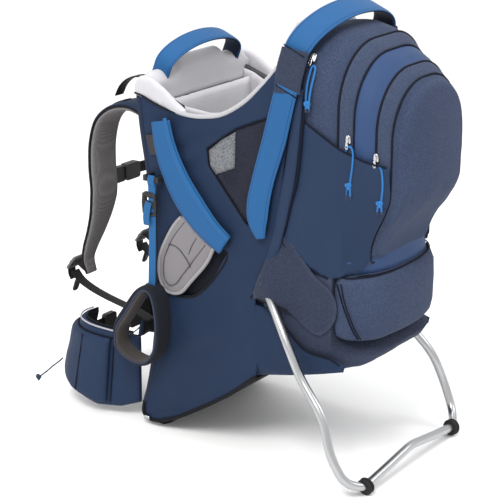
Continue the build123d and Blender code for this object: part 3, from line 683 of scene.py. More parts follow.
# ------------------------------------------------------------ kickstand and frame tubes
KICK_LEFT = [(-150, -241.6, 311), (-150.5, -309, 175), (-161, -362, 121), (-171, -381, 69), (-164, -402, 28), (-136, -420, 13.5), (-70, -420, 22.5)]
KICK = KICK_LEFT + [(0, -420, 33.0)] + [(-x, y, z) for x, y, z in reversed(KICK_LEFT)]
tube("kickstand_leg_tube", fillet(KICK, [110, 110, 110, 38.2, 39.7, 110, 110, 110, 39.7, 38.2, 110, 110, 110], 2.5), 7.0, STEEL, "kickstand", n=28, replaces="kickstand_tube")
ring_dir = np.array([66, 0, 9.0]) / np.linalg.norm([66, 0, 9.0])
ring_w = np.array([0, 1.0, 0])
ring_n = np.cross(ring_dir, ring_w)
ring_path = np.array([[-130.0, -420, 14.3] + ring_dir * s for s in np.linspace(-6.2, 6.2, 15)])
prof = np.array([9.0, 11.2, 12.8, 13.4, 12.9, 11.2, 10.0, 9.7, 10.0, 11.2, 12.9, 13.4, 12.8, 11.2, 9.0])
th = np.linspace(0, 2 * math.pi, 40, endpoint=False)
rg = sweep("ring_left", ring_path, np.tile(ring_w, (15, 1)), np.tile(ring_n, (15, 1)), prof[:, None] * np.cos(th), prof[:, None] * np.sin(th), RUBBER, "kickstand", replaces="kickstand_rings")
mirror_of(rg, "ring_right", "kickstand")
for node in ("back_uprights", "base_tube", "rear_hoop_tube", "front_hoop_tube"):
    hard(node, PAINTED, "frame", 0)
for node, mat in (("kickstand_hubs", BLACK_PLASTIC), ("kickstand_pivot_pins", STEEL), ("framesheet", BLACK_PLASTIC), ("edge_keepers", BLACK_PLASTIC)):
    hard(node, mat, "frame", 0.6)
for o in [x for x in bpy.data.objects if x.name in ("back_uprights_look", "base_tube_look", "rear_hoop_tube_look", "front_hoop_tube_look")]:
    for p in o.data.polygons:
        p.use_smooth = True

# ------------------------------------------------------------ side walls
SIDE = [
    (12, 564), (6, 507), (-4, 446), (-14, 385), (-18, 330), (-19, 250), (-12, 150), (3, 70), (13, 36), (12, 14),
    (-12, 11), (-50, 27), (-101, 56), (-160, 96), (-212, 140), (-217, 160),
    (-213, 276), (-230, 318), (-252, 378), (-264, 480), (-274, 560), (-278, 606),
    (-256, 640), (-223, 609), (-190, 577), (-145, 551), (-105, 543), (-78, 546), (-40, 556),
]
WINDOW = [(-122, 497), (-125, 470), (-198, 388), (-236, 420), (-246, 566), (-178, 537)]
LEG_HOLE = [(-34, 262), (-34, 330), (-62, 366), (-124, 344), (-160, 336), (-128, 282), (-92, 250), (-56, 244)]


def side_crown(u, v):
    c = 2.6 * wobble(u, v, 0, 95, 3.0) + 1.6 * wobble(u, v * 0.6, 0, 34, 7.0)
    # creases that run from the front band towards the window, and along the boat-shaped bottom
    c += 2.4 * math.exp(-(((u + 78) / 40.0) ** 2 + ((v - 486) / 46.0) ** 2)) * math.sin((v + 0.62 * u) / 6.6)
    c += 1.7 * math.exp(-(((u + 120) / 60.0) ** 2 + ((v - 532) / 24.0) ** 2)) * math.sin((v + 0.25 * u) / 6.0)
    c += 1.9 * math.exp(-(((u + 128) / 62.0) ** 2 + ((v - 165) / 46.0) ** 2)) * math.sin((v * 0.9 + 0.42 * u) / 8.5)
    c += 1.6 * math.exp(-(((u + 170) / 34.0) ** 2 + ((v - 318) / 50.0) ** 2)) * math.sin((u + 0.8 * v) / 8.0)
    return c


wall = panel(
    "side_wall_left", SIDE, on_left(131.5), NAVY, "frame", thick=3.4, edge=1.6, rim=8, holes=[WINDOW, LEG_HOLE], step=5.0, crown=side_crown, back_mat=LINER,
    seams=[([(-20, 470), (-60, 455), (-120, 478)], 1.0, 2.2), ([(-60, 380), (-110, 402), (-160, 366), (-213, 290)], 1.0, 2.2), ([(-8, 24), (-60, 44), (-110, 72), (-165, 112), (-214, 152)], 1.3, 2.0),
           ([(-140, 552), (-180, 500), (-205, 395)], 0.8, 2.0)],
    replaces="side_panel_left", pad=0.2,
)
mirror_of(wall, "side_wall_right", "frame", "side_panel_right")
# Piping along the dipping rim, dark binding along the boat-shaped lower edge and the leg opening.
rim_line = spline([(-131.5, -36, 555), (-132, -60, 546.5), (-132, -90, 543.5), (-132, -118, 546), (-132, -150, 554), (-132, -190, 578), (-131, -223, 608), (-129, -250, 638)], 70)
t = tube("rim_piping_left", rim_line, 3.6, LINER_EDGE, "frame", n=12)
mirror_of(t, "rim_piping_right", "frame")
low_line = spline([(-132, 15, 40), (-132.5, 16, 18), (-132.5, 5, 11), (-132.5, -14, 12), (-132.5, -52, 28), (-132.5, -101, 57.5), (-132.5, -160, 97), (-132, -214, 142)], 70)
t = tube("low_binding_left", low_line, 3.4, BLACK_FABRIC, "frame", n=12)
mirror_of(t, "low_binding_right", "frame")
t = tube("leg_binding_left", np.c_[np.full(64, -132.5), spline(LEG_HOLE, 64, True)], 2.0, BLACK_FABRIC, "frame", closed=True, n=8)
mirror_of(t, "leg_binding_right", "frame")
t = ribbon("front_binding_left", spline([(-131.5, 13, 560), (-131.5, 7, 507), (-131.5, -3, 446), (-131.5, -13, 385), (-131.5, -17, 330), (-131.5, -18, 250), (-131.5, -11, 150), (-131.5, 4, 70), (-131.5, 14, 38)], 90), (0, 1, 0.05), 9, 5, NAVY_WEB, "frame", p=3)
mirror_of(t, "front_binding_right", "frame")
# Mesh window with the finer grey patch in its front corner.
mesh = panel("mesh_window_left", WINDOW, on_left(129.8), WINDOW_MESH, "frame", thick=1.6, edge=1.0, step=8, crown=lambda u, v: 1.2 * wobble(u, v, 0, 50, 2.0), replaces="mesh_windows", pad=0.1)
mirror_of(mesh, "mesh_window_right", "frame")
PATCH = [(-125, 494), (-127, 471), (-138, 458), (-174, 474), (-176, 531), (-150, 515)]
patch = panel("mesh_patch_left", PATCH, on_left(131.6), PATCH_MESH, "frame", thick=1.6, edge=0.8, rim=3, step=6)
mirror_of(patch, "mesh_patch_right", "frame")
t = tube("window_edge_left", np.c_[np.full(90, -132.6), even(np.array(WINDOW + WINDOW[:1]), 90)], 1.1, SEAM, "frame", n=6)
mirror_of(t, "window_edge_right", "frame")

# Thigh pad.
THIGH = [(-62, 366), (-84, 389), (-104, 364), (-137, 342), (-124, 315), (-92, 277), (-71, 254), (-54, 249), (-39, 253), (-29, 272), (-30, 305), (-47, 343)]
pad = panel(
    "thigh_pad_left_look", THIGH, on_left(138.2), PAD, "frame", thick=9.0, edge=3.0, rim=14, step=4.5, smooth_outline=False,
    seams=[([(-54.7, 329.8), (-66, 329), (-77.8, 321.8), (-88, 311), (-94, 302)], 1.8, 2.0), ([(-106, 359), (-93, 329)], 1.2, 1.8), ([(-121, 350), (-104, 322), (-80, 287), (-62, 263), (-50, 260), (-40, 272), (-40, 303), (-56, 341), (-70, 378)], 1.6, 1.8)],
    replaces="thigh_pads", pad=0.55,
)
mirror_of(pad, "thigh_pad_right_look", "frame")
edge_line = spline([(-74, 379), (-62, 366), (-47, 343), (-30, 305), (-29, 272), (-39, 253), (-54, 249), (-71, 254), (-92, 277), (-124, 315), (-138, 342)], 90)
t = tube("thigh_binding_left", np.c_[np.full(90, -138.4), edge_line], 3.2, PAD_EDGE, "frame", n=10)
mirror_of(t, "thigh_binding_right", "frame")
for j, ln in enumerate(([(-50, 331), (-66, 330), (-78, 322), (-88, 311), (-95, 301)], [(-107, 352), (-98, 338), (-91, 322)], [(-84, 374), (-66, 352), (-52, 330), (-41, 303), (-40, 276), (-49, 263), (-62, 266), (-82, 290), (-106, 321), (-124, 344)])):
    q = spline(ln, 40)
    t = tube("thigh_stitching_%d_left" % j, np.c_[np.full(40, -142.4), q], 0.9, PAD_SEAM, "frame", n=6)
    mirror_of(t, "thigh_stitching_%d_right" % j, "frame")
# Dark sheet behind the thigh pad, across the leg opening: painted shade of the cockpit's inside seen through the
# opening.
inner = panel("leg_guard_left", [(-30, 250), (-30, 335), (-62, 370), (-128, 350), (-165, 338), (-130, 276), (-92, 244), (-56, 238)], on_left(124.0), INNER_PAINTED_SHADE, "frame", thick=2.0, edge=1.0, step=9)
mirror_of(inner, "leg_guard_right", "frame")


# Blue side straps.
def mid_of(L, R, n):
    A, B = spline(L, n), spline(R, n)
    return (A + B) / 2, np.linalg.norm(A - B, axis=1), (A - B) / np.linalg.norm(A - B, axis=1, keepdims=True)


b1, w1, d1 = mid_of([(-23.5, 519), (-30.2, 478.9), (-49.8, 428.6), (-79.6, 386.3), (-111.9, 359.3), (-150, 337)], [(-54.5, 539), (-66.5, 501.1), (-90.9, 456.4), (-122.6, 417.1), (-149.7, 387.3), (-175, 367)], 70)
s1 = ribbon("front_band_left", np.c_[-142.5 - 1.5 * np.sin(np.linspace(0, math.pi, 70)), b1], np.c_[np.zeros(70), d1], w1, 6.5, BLUE, "frame", p=4.5, q=2.2, n=32, replaces="side_straps", pad=0.4)
mirror_of(s1, "front_band_right", "frame")
# A folded hem along the band's upper edge, in a slightly lighter blue that also paints the highlight on that edge.
hem = np.c_[-146.2 - 1.3 * np.sin(np.linspace(0, math.pi, 70)), b1 - d1 * (w1[:, None] * 0.36)]
t = ribbon("front_band_fold_left", hem, np.c_[np.zeros(70), d1], w1 * 0.2, 2.0, BLUE_NARROW, "frame", p=2.5, q=2)
mirror_of(t, "front_band_fold_right", "frame")
L2 = [(-257.7, 622.1), (-245, 578), (-233.5, 536), (-212.7, 464), (-204, 425), (-206, 401), (-222, 378)]
R2 = [(-293.5, 606.9), (-284, 569), (-275, 532.2), (-254.8, 471.4), (-247, 440), (-242, 405), (-238, 374)]
b2, w2, d2 = mid_of(L2, R2, 70)
s2 = ribbon("rear_band_left", np.c_[np.full(70, -141.5), b2], np.c_[np.zeros(70), d2], w2, 5.5, BLUE, "frame", p=4.5, q=2.2, n=32, pad=0.4)
mirror_of(s2, "rear_band_right", "frame")
SL = spline([(-122.5, -277.5, 667), (-126.5, -276.6, 656), (-132.5, -275.4, 640), (-138, -275.4, 622), (-141.5, -276, 606)], 40)
sdir = np.array([0, 0.925, 0.38])
swid = np.interp(np.linspace(0, 1, 40), [0, 0.5, 1], [45, 45, 42.5])
s3 = ribbon("handle_sleeve_left", SL, sdir, swid, 7.0, HEATHER_DARK, "frame", p=4.5, q=2.3, n=32, replaces="handle_sleeves", pad=0.4)
mirror_of(s3, "handle_sleeve_right", "frame")
for k, f in (("a", 1), ("b", 37)):
    off = SL[f] + np.array([-3.0, 0, 0.4])
    t = tube("sleeve_seam_%s_left" % k, np.array([off + sdir * w for w in np.linspace(-19.5, 19.5, 12)]), 1.1, SEAM, "frame", n=8)
    mirror_of(t, "sleeve_seam_%s_right" % k, "frame")

# ------------------------------------------------------------ cockpit
RIM_X = 127.0
col = []
for x in np.linspace(-RIM_X, RIM_X, 61):
    ax = abs(x)
    bump_up = 0.5 - 0.5 * math.tanh((ax - 58) / 6.0)
    corner = max(0, (ax - 108) / 19.0)
    top = 594 + 14 * bump_up - 14 * corner ** 2 + 1.2 * wobble(x, 0, 0, 30, 4.0)
    ring = []
    for yy, zz in [(22, 562), (24, 572), (20.5, None), (13, None), (6, None), (-3, None), (-11, None), (-14, 578), (-15, 560), (-15, 548), (-4, 549), (6, 550), (16, 553)]:
        if zz is None:
            k = {20.5: -7, 13: 0, 6: 2, -3: 0, -11: -8}[yy]
            zz = top + k
        ring.append((x, yy - 6 * corner * (1 if yy > 0 else -0.3) + 0.8 * wobble(x, yy, zz, 26, 2.0), zz))
    col.append(ring)
G = np.array(col)
G = np.stack([spline(r, 30, True) for r in G])
surface("collar_pad", G, LINER, "frame", cap=True, replaces="cockpit_rim_pad", pad=0.6)
# The collar's wings slope down along the tops of the side walls.
WING = [(20, 560), (20, 579), (10, 591), (-8, 591), (-32, 580), (-58, 562), (-80, 546), (-62, 540), (-30, 548), (0, 556)]
w = panel("collar_wing_left", WING, on_left(129.0), LINER, "frame", thick=10, edge=3, rim=10, step=4.5, smooth_outline=True, crown=lambda u, v: 1.0 * wobble(u, v, 0, 22, 6.0), pad=0.5)
mirror_of(w, "collar_wing_right", "frame")
t = tube("collar_piping_left", spline([(-134.2, 19, 564), (-134.8, 5, 562), (-135, -22, 553), (-134.5, -50, 546), (-133, -76, 543.5)], 40), 1.5, BLACK_FABRIC, "frame", n=8)
mirror_of(t, "collar_piping_right", "frame")
t = tube("collar_seam", spline([(-124, 23, 563), (-60, 25, 562), (0, 25, 562), (60, 25, 562), (124, 23, 563)], 60), 1.6, SEAM, "frame", n=8)


def back_y(z):
    return float(np.interp(z, [46, 100, 160, 205, 275, 345, 400, 470, 548], [5, -9, -24, -29.5, -31, -29.5, -23, -13, -3]))


def along_back(off):
    """u is x, v is z on the carrier's curved back; w is forward."""
    return lambda u, v, w: np.stack([u, np.array([back_y(z) for z in np.ravel(v)]) + off + w, v], -1)


fw = panel("front_liner", [(-112, 330), (-112, 552), (112, 552), (112, 330), (80, 300), (-80, 300)], along_back(-22), LINER, "frame", thick=9, edge=4, rim=20, step=9,
           crown=lambda u, v: 1.6 * wobble(u, v, 0, 60, 1.0) + 0.8 * wobble(u, v, 0, 22, 5.0), seams=[([(-60, 300), (-66, 430), (-58, 552)], 2.2, 3), ([(60, 300), (66, 430), (58, 552)], 2.2, 3)], replaces="front_wall_liner", pad=0.4)
sb = panel("seat_back_pad", [(-110, 345), (-111, 520), (-110, 630), (-100, 665), (-72, 694), (0, 699), (72, 694), (100, 665), (110, 630), (111, 520), (110, 345)], flat_at((0, -241.5, 0), (-1, 0, 0), (0, 0, 1)), LINER, "frame", thick=12, edge=5, rim=18, step=9,
           crown=lambda u, v: 2.2 * wobble(u, v, 0, 70, 8.0) + 1.0 * wobble(u, v, 0, 25, 3.0), seams=[([(-70, 345), (-74, 520), (-66, 640), (-40, 668), (0, 676), (40, 668), (66, 640), (74, 520), (70, 345)], 2.4, 3.0)], replaces="seat_back_liner", pad=0.5)
# Dark sheets just inside the side walls, behind the mesh windows: painted shade of the cockpit's inside seen through
# the mesh.
t = panel("inner_wall_left", [(-60, 330), (-58, 520), (-110, 536), (-150, 545), (-190, 570), (-232, 612), (-232, 340)], on_left(119.0), INNER_PAINTED_SHADE, "frame", thick=3, edge=1.5, step=12, crown=lambda u, v: 3 * wobble(u, v, 0, 60, 3.0))
mirror_of(t, "inner_wall_right", "frame")
t = panel("inner_lining_left", [(-12, 470), (-10, 566), (-34, 560), (-60, 548), (-108, 545), (-146, 551), (-188, 574), (-222, 604), (-222, 470)], on_left(106.5), LINER, "frame", thick=4, edge=2, rim=8, step=9, crown=lambda u, v: 2.0 * wobble(u, v, 0, 45, 5.0), pad=0.3)
mirror_of(t, "inner_lining_right", "frame")
# Head rest and the child's harness.
panel("head_rest", [(-66, 560), (-70, 610), (-58, 640), (0, 650), (58, 640), (70, 610), (66, 560), (30, 548), (-30, 548)], flat_at((0, -228, 0), (-1, 0, 0), (0, 0, 1)), LINER, "frame", thick=18, edge=6, rim=18, step=6, smooth_outline=True, seams=[([(-22, 552), (-24, 644)], 2.5, 3), ([(22, 552), (24, 644)], 2.5, 3)], pad=0.7)
hs = ribbon("child_strap_left", spline([(-36, -232, 572), (-37, -224, 540), (-37, -222, 500), (-34, -222, 450), (-26, -222, 410), (-18, -222, 384)], 60), (1, 0, 0), 36, 9, STRAP_MESH, "frame", p=3.2, q=2.2, replaces="child_harness", pad=0.6)
mirror_of(hs, "child_strap_right", "frame")
for s in (-1, 1):
    tube("child_strap_edge_%s" % ("left" if s < 0 else "right"), spline([(s * 54, -229, 572), (s * 55, -221, 540), (s * 55, -219, 500), (s * 52, -219, 450), (s * 44, -219, 412)], 40), 1.6, BLACK_FABRIC, "frame", n=8)
    tube("child_strap_inner_edge_%s" % ("left" if s < 0 else "right"), spline([(s * 18, -229, 572), (s * 19, -221, 540), (s * 19, -219, 500), (s * 16, -219, 450), (s * 8, -219, 412)], 40), 1.6, BLACK_FABRIC, "frame", n=8)
    ribbon("child_chest_web_%s" % ("left" if s < 0 else "right"), spline([(s * 34, -217, 470), (s * 22, -213, 470), (s * 12, -212, 470)], 12), (0, 0, 1), 18, 2.2, BLACK_WEB, "frame")
panel("child_buckle", [(-20, 384), (-22, 408), (-12, 422), (12, 422), (22, 408), (20, 384), (12, 374), (-12, 374)], flat_at((0, -213.5, 0), (-1, 0, 0), (0, 0, 1)), BLACK_PLASTIC, "frame", thick=9, edge=5, rim=5, step=3.5, smooth_outline=True, seams=[([(-8, 384), (-8, 410)], 1.2, 1.2), ([(8, 384), (8, 410)], 1.2, 1.2)])
panel("child_chest_buckle", [(-16, 461), (-16, 479), (16, 479), (16, 461)], flat_at((0, -212.5, 0), (-1, 0, 0), (0, 0, 1)), BLACK_PLASTIC, "frame", thick=8, edge=4, rim=4, step=3)
seat = panel("seat_pad", [(-64, -50), (-64, 50), (-90, 53), (-150, 40), (-222, 53), (-222, -53), (-150, -40), (-90, -53)], lambda u, v, w: np.stack([v, u, 296 + 10 * np.exp(-((u + 75) / 22) ** 2) + w + 0.0022 * (u + 150) ** 2 - 6], -1), PAD, "seat", thick=26, edge=8, rim=20, step=6, smooth_outline=False,
             seams=[([(-66, 0), (-220, 0)], 2.4, 3), ([(-110, -44), (-110, 44)], 1.8, 3)], replaces="seat_base", pad=0.7)
for s in (-1, 1):
    ribbon("seat_web_%s" % ("left" if s < 0 else "right"), spline([(s * 42, -150, 306), (s * 66, -152, 318), (s * 92, -154, 352), (s * 112, -156, 398)], 20), (0, 1, 0), 24, 2.2, BLACK_WEB, "frame")


# ------------------------------------------------------------ handles
def handle(name, plane_o, half, rise, width, low, mat_top, mat_under, node):
    z = np.array([0, -0.93, -0.37]); z /= np.linalg.norm(z)
    xd = np.array([1.0, 0, 0])
    yd = np.cross(z, xd)
    a = np.linspace(math.pi + 0.0, 0, 90)
    pts = [np.array([-half, low])] + [np.array([half * math.cos(t), rise * math.sin(t)]) for t in a] + [np.array([half, low])]
    P2 = even(np.array(pts), 110)
    P = np.array([np.asarray(plane_o) + xd * p[0] + yd * p[1] for p in P2])
    s = np.linspace(-1, 1, 110)
    T = tangents(P)
    N = np.cross(T, z)
    if N[55] @ yd < 0:
        N = -N
    o = ribbon(name, P - N * 1.4, z, width + 1.5 * (1 - s ** 2), 4.2, mat_top, "frame", p=5, q=2.4, replaces=node, pad=0.3)
    ribbon(name + "_lining", P - N * 4.6, z, width - 3, 3.6, mat_under, "frame", p=4, q=2.4, pad=0.3)
    return o


handle("rear_handle_band", (0, -275, 662), 120, 58.5, 42, -14, BLUE, NAVY_WEB, "rear_handle")
handle("front_handle_band", (0, -3, 602), 92, 41, 33, -17, BLUE, NAVY_WEB, "front_handle")


# ------------------------------------------------------------ cargo bag
def arch(half, low, high, r, foot, inset=0.0, n=150):
    """A closed outline from the bottom middle, round by +x, with big top corners."""
    half, low, high = half - inset, low + inset, high - inset
    r, foot = max(r - inset, 2), max(foot - inset, 2)
    pts = [(0, low)]
    for cx, cz, rr, a0, a1 in ((half - foot, low + foot, foot, -90, 0), (half - r, high - r, r, 0, 90), (-half + r, high - r, r, 90, 180), (-half + foot, low + foot, foot, 180, 270)):
        for a in np.radians(np.linspace(a0, a1, 24)):
            pts.append((cx + rr * math.cos(a), cz + rr * math.sin(a)))
    pts.append((0, low))
    return even(np.array(pts), n, True)


def lift(outline, y):
    return np.stack([outline[:, 0], np.full(len(outline), float(y)), outline[:, 1]], -1)


def pillow(name, keys, R, crown, mat, rows=9, n=150, **kw):
    """keys: (y, half, low, high, r, foot) from the carrier outwards; the last one rounds over by R into a crowned face."""
    K = np.array(keys, float)
    out = [lift(arch(*K[0][1:], inset=14, n=n), K[0][0])]
    ys = np.linspace(K[0][0], K[-1][0] + R * 0.0, rows)
    for y in ys:
        k = [np.interp(-y, -K[:, 0], K[:, i]) for i in range(1, 6)]
        out.append(lift(arch(*k, n=n), y))
    y1, k = K[-1][0], K[-1][1:]
    for a in np.radians(np.linspace(12, 90, 8)):
        out.append(lift(arch(*k, inset=R * (1 - math.cos(a)), n=n), y1 - R * math.sin(a)))
    last = out[-1]
    cx = np.array([0, last[0][1], (k[1] + k[2]) / 2])
    for s in (0.9, 0.78, 0.64, 0.5, 0.36, 0.22, 0.1, 0.015):
        ring = cx + (last - cx) * s
        ring[:, 1] = last[0][1] - crown * (1 - s ** 2)
        out.append(ring)
    return surface(name, np.array(out), mat, "frame", cap=True, **kw)


def strip(name, k1, y1, k2, y2, mat, puff=1.6, rows=6, span=(0.06, 0.94), body="frame", **kw):
    """A binding strip between two outlines of a compartment."""
    A, B = lift(arch(*k1, n=240), y1), lift(arch(*k2, n=240), y2)
    i0, i1 = int(240 * span[0]), int(240 * span[1])
    A, B = A[i0:i1], B[i0:i1]
    c = np.array([0, (y1 + y2) / 2 + 30, 480.0])
    rowsG = []
    for s in np.linspace(0, 1, rows):
        M = A + (B - A) * s
        d = M - c
        d /= np.linalg.norm(d, axis=1, keepdims=True)
        rowsG.append(M + d * puff * math.sin(math.pi * s))
    G = np.array(rowsG)
    D = (A - B) / np.linalg.norm(A - B, axis=1, keepdims=True)
    T = tangents(A)
    Nn = np.cross(T, D)
    inner = [g - Nn * 2.2 * np.sign((Nn * (g - c)).sum(1, keepdims=True)) for g in G[::-1]]
    ring = np.concatenate([G, np.array(inner)], 0)
    ring = np.transpose(ring, (1, 0, 2))
    return surface(name, ring, mat, body, cap=True, **kw), A, B


def pleats(x, y, z):
    f = 0.9 * wobble(x, y, z, 42, 3.0) + 0.5 * wobble(x, y, z, 17, 8.0)
    return f


MAIN_K = [(-262, 126, 338, 684, 92, 8), (-300, 124, 338, 689, 92, 8), (-330, 120, 338, 684, 92, 8), (-346, 116, 338, 675, 92, 8)]


def main_wrinkle(x, y, z):
    f = 1.1 * wobble(x, y, z, 60, 2.0) + 0.5 * wobble(x, y, z, 20, 5.0)
    ang = math.atan2(z - 597, -x)
    near = math.exp(-((y + 272) / 22.0) ** 2)
    if z > 560:
        f += near * 1.5 * math.sin(ang * 46) * max(0, 0.4 + wobble(ang * 30, y, 0, 20, 1.0))
    return f


mb = rumple(pillow("bag_main", MAIN_K, 14, 0, HEATHER, rows=12, replaces="cargo_bag_main", pad=0.8), main_wrinkle)
ZK1 = (117.6, 338, 677.5, 92, 8)
ZK2 = (108.5, 345, 661, 90, 8)
strip("binding_middle", ZK1, -350, ZK2, -370, HEATHER_BAND)
A1 = lift(arch(*ZK1, n=240), -350)
tube("zip_line_middle", A1[14:226], 1.9, SEAM, "frame", n=8)
B1 = lift(arch(*ZK2, n=240), -371)
tube("binding_edge_middle", B1[14:226], 1.3, SEAM, "frame", n=8)
MID_K = [(-352, 108, 345, 660, 90, 8), (-374, 107.5, 345, 659.5, 90, 8), (-392, 103, 345, 650, 88, 8), (-400, 99.5, 345, 642, 86, 8)]
rumple(pillow("bag_middle", MID_K, 11, 0, MID_BLUE, rows=10, replaces="cargo_bag_middle", pad=0.8), lambda x, y, z: 0.9 * wobble(x, y, z, 55, 6.0) + 0.4 * wobble(x, y, z, 18, 9.0))
YK1 = (100.0, 345, 641.5, 85, 8)
YK2 = (91.5, 352, 627, 82, 8)
strip("binding_front", YK1, -404, YK2, -424, HEATHER_BAND)
A2 = lift(arch(*YK1, n=240), -404)
tube("zip_line_front", A2[14:226], 1.9, SEAM, "frame", n=8)
B2 = lift(arch(*YK2, n=240), -425)
tube("binding_edge_front", B2[14:226], 1.3, SEAM, "frame", n=8)
FR_K = [(-405, 91, 354, 627, 82, 20), (-424, 90.5, 354, 626.5, 82, 20), (-428, 89, 355, 624.5, 81, 20), (-431, 86, 357, 621, 79, 22)]


def front_wrinkle(x, y, z):
    f = 1.2 * wobble(x, y, z * 1.2, 48, 4.0) + 0.7 * wobble(x * 0.5, y, z, 15, 7.0)
    if z < 440:
        f += 0.8 * math.sin(z / 6.5 + 2.0 * wobble(x, y, z, 40, 2.0)) * max(0, 0.2 + wobble(x, y, z, 50, 5.0))
    return f


rumple(pillow("bag_front_pocket", FR_K, 15, 10, HEATHER, rows=9, replaces="front_pocket", pad=0.75), front_wrinkle)


# Lower pocket, the strip above it, and the bag's base.
def lofted(name, rings, mat, body="frame", n=120, crown=6, **kw):
    """Outlines (x, y) at several z."""
    G = []
    for z, pts in rings:
        q = spline(pts, n, True)
        G.append(np.stack([q[:, 0], q[:, 1], np.full(n, float(z))], -1))
    G = np.array(G)
    first, last = G[0], G[-1]
    def shrink(ring, dz):
        c = ring.mean(0)
        return [c + (ring - c) * s + np.array([0, 0, dz * (1 - s ** 2)]) for s in (0.86, 0.66, 0.44, 0.22, 0.03)]
    rows = [*shrink(first, -crown)[::-1], *G, *shrink(last, crown)]
    return surface(name, np.array(rows), mat, body, cap=True, **kw)


def pocket_ring(g, back=-347):
    return [(-114 * g, back), (-116 * g, -372), (-104 * g, -402), (-84 * g, -425), (-45 * g, -441), (0, -444), (45 * g, -441), (84 * g, -425), (104 * g, -402), (116 * g, -372), (114 * g, back), (60, back + 1), (0, back + 1), (-60, back + 1)]


def sized(points, inset):
    c = np.array([0.0, -350.0])
    out = []
    for p in points:
        v = np.array(p, float) - c
        k = max(0, 1 - inset / max(np.linalg.norm(v), 1))
        out.append(tuple(c + v * k))
    return out


LP = pocket_ring(1.0)
rings = [(228, sized(LP, 24)), (231, sized(LP, 13)), (238, sized(LP, 4)), (252, LP), (290, sized(LP, -2)), (318, sized(LP, 1)), (330, sized(LP, 5)), (336, sized(LP, 12))]
rumple(lofted("bag_lower_pocket", rings, HEATHER, crown=3, replaces="lower_pocket", pad=0.7), lambda x, y, z: 1.4 * wobble(x, y, z, 45, 3.0) + 0.6 * wobble(x, y, z, 18, 6.0) if y < -352 else 0)
gus = [(-116.5, -352, 322), (-118.8, -362, 300), (-117.5, -376, 274), (-112.5, -390, 248), (-106, -396, 236)]
for k, off in (("a", 0), ("b", 7)):
    t = tube("pocket_gusset_%s_left" % k, spline([(x + 0.0 * off - (0.6 if off else 0), y - off, z + off * 0.2) for x, y, z in gus], 40), 1.3, SEAM, "frame", n=8)
    mirror_of(t, "pocket_gusset_%s_right" % k, "frame")
tube("pocket_top_seam", spline([(-112, -354, 333), (-112, -374, 333), (-100, -400, 334), (-80, -421, 334), (-42, -436, 334), (0, -439, 334), (42, -436, 334), (80, -421, 334), (100, -400, 334), (112, -374, 333), (112, -354, 333)], 90), 1.3, SEAM, "frame", n=8)
strip_ring = [(-112, -347), (-113, -370), (-103, -398), (-84, -420), (-45, -436), (0, -439), (45, -436), (84, -420), (103, -398), (113, -370), (112, -347), (60, -346), (0, -346), (-60, -346)]
rumple(lofted("pocket_top_strip", [(336, sized(strip_ring, 6)), (344, sized(strip_ring, 1)), (356, sized(strip_ring, -2)), (368, sized(strip_ring, 1)), (378, sized(strip_ring, 7))], MID_BLUE, crown=2, pad=0.6), lambda x, y, z: 0.8 * wobble(x, y, z, 40, 3.0))

BB = [(-128, -226), (-128.5, -262), (-126, -305), (-122, -344), (-110, -376), (-82, -399), (-40, -404), (0, -404), (40, -404), (82, -399), (110, -376), (122, -344), (126, -305), (128.5, -262), (128, -226), (70, -223), (0, -223), (-70, -223)]


def bb(inset, shift=0):
    c = np.array([0.0, -290.0])
    return [tuple(c + (np.array(p) - c) * (1 - inset / max(np.linalg.norm(np.array(p) - c), 1)) + np.array([0, shift])) for p in BB]


def base_cut(z):
    """The base rises towards the rear, as the hull of a boat."""
    return np.interp(z, [150, 165, 185, 206, 232], [46, 30, 14, 3, 0])


rings = []
for z in (152, 156, 164, 176, 190, 208, 226, 236, 262, 300, 326, 336):
    ring = []
    for x, y in bb(2.5 if z in (152, 336) else 0):
        cut = base_cut(z)
        k = max(0, (-y - 300) / 104.0)
        ring.append((x * (1 - 0.10 * cut / 46), y + k * cut * 1.15))
    rings.append((z, ring))
GB = []
for z, pts in rings:
    q = spline(pts, 140, True)
    GB.append(np.stack([q[:, 0], q[:, 1], np.full(140, float(z))], -1))
GB = np.array(GB)
rear = GB[:, :, 1] < -345.5
high = GB[:, :, 2] > 224
GB[:, :, 1] = np.where(rear & high, -345.5 - 0.0, GB[:, :, 1])
first, last = GB[0], GB[-1]
c0 = first.mean(0)
rows = [c0 + (first - c0) * s for s in (0.03, 0.3, 0.6, 0.88)]
c1 = last.mean(0)
rows2 = [c1 + (last - c1) * s for s in (0.9, 0.6, 0.3, 0.03)]
for ring in (*rows, *GB):
    ring[:, 2] = np.maximum(ring[:, 2], 142 + np.clip(-ring[:, 1] - 212, 0, 200) * 0.285)
# The bag's base uses the darker heather copy: painted shade on the underside.
rumple(surface("bag_base_look", np.array([*rows, *GB, *rows2]) * np.array([1, 1, 1.0]), HEATHER_DARK, "frame", cap=True, replaces="bag_base", pad=0.7), lambda x, y, z: (1.3 * wobble(x, y, z, 55, 3.0) + 0.5 * wobble(x, y, z, 20, 6.0)) if z > 154 else 0)
# Navy lower rear of the body that passes under the heather side, and the seams between them.
LOWNAVY = [(-200, 138), (-204, 262), (-232, 262), (-270, 236), (-306, 208), (-350, 205), (-374, 198), (-372, 188), (-340, 178), (-300, 167), (-250, 153)]
t = panel("lower_navy_left", LOWNAVY, lambda u, v, w: np.stack([-(130.9 - 6.0 * np.clip((-u - 290) / 70, 0, 1) - 9 * np.clip((172 - v) / 26, 0, 1) ** 2 + w), u, v], -1), NAVY, "frame", thick=3.4, edge=1.4, rim=6, step=6,
          crown=lambda u, v: 1.0 * wobble(u, v, 0, 45, 3.0) + 0.7 * math.sin((v + 0.3 * u) / 9) * max(0, wobble(u, v, 0, 40, 5.0)), pad=0.2)
mirror_of(t, "lower_navy_right", "frame")
t = tube("low_side_seam_left", spline([(-132.5, -251, 268), (-132.4, -270, 240), (-131.8, -306, 210.5), (-128.5, -350, 205), (-126, -366, 197)], 50), 1.4, SEAM, "frame", n=8)
mirror_of(t, "low_side_seam_right", "frame")

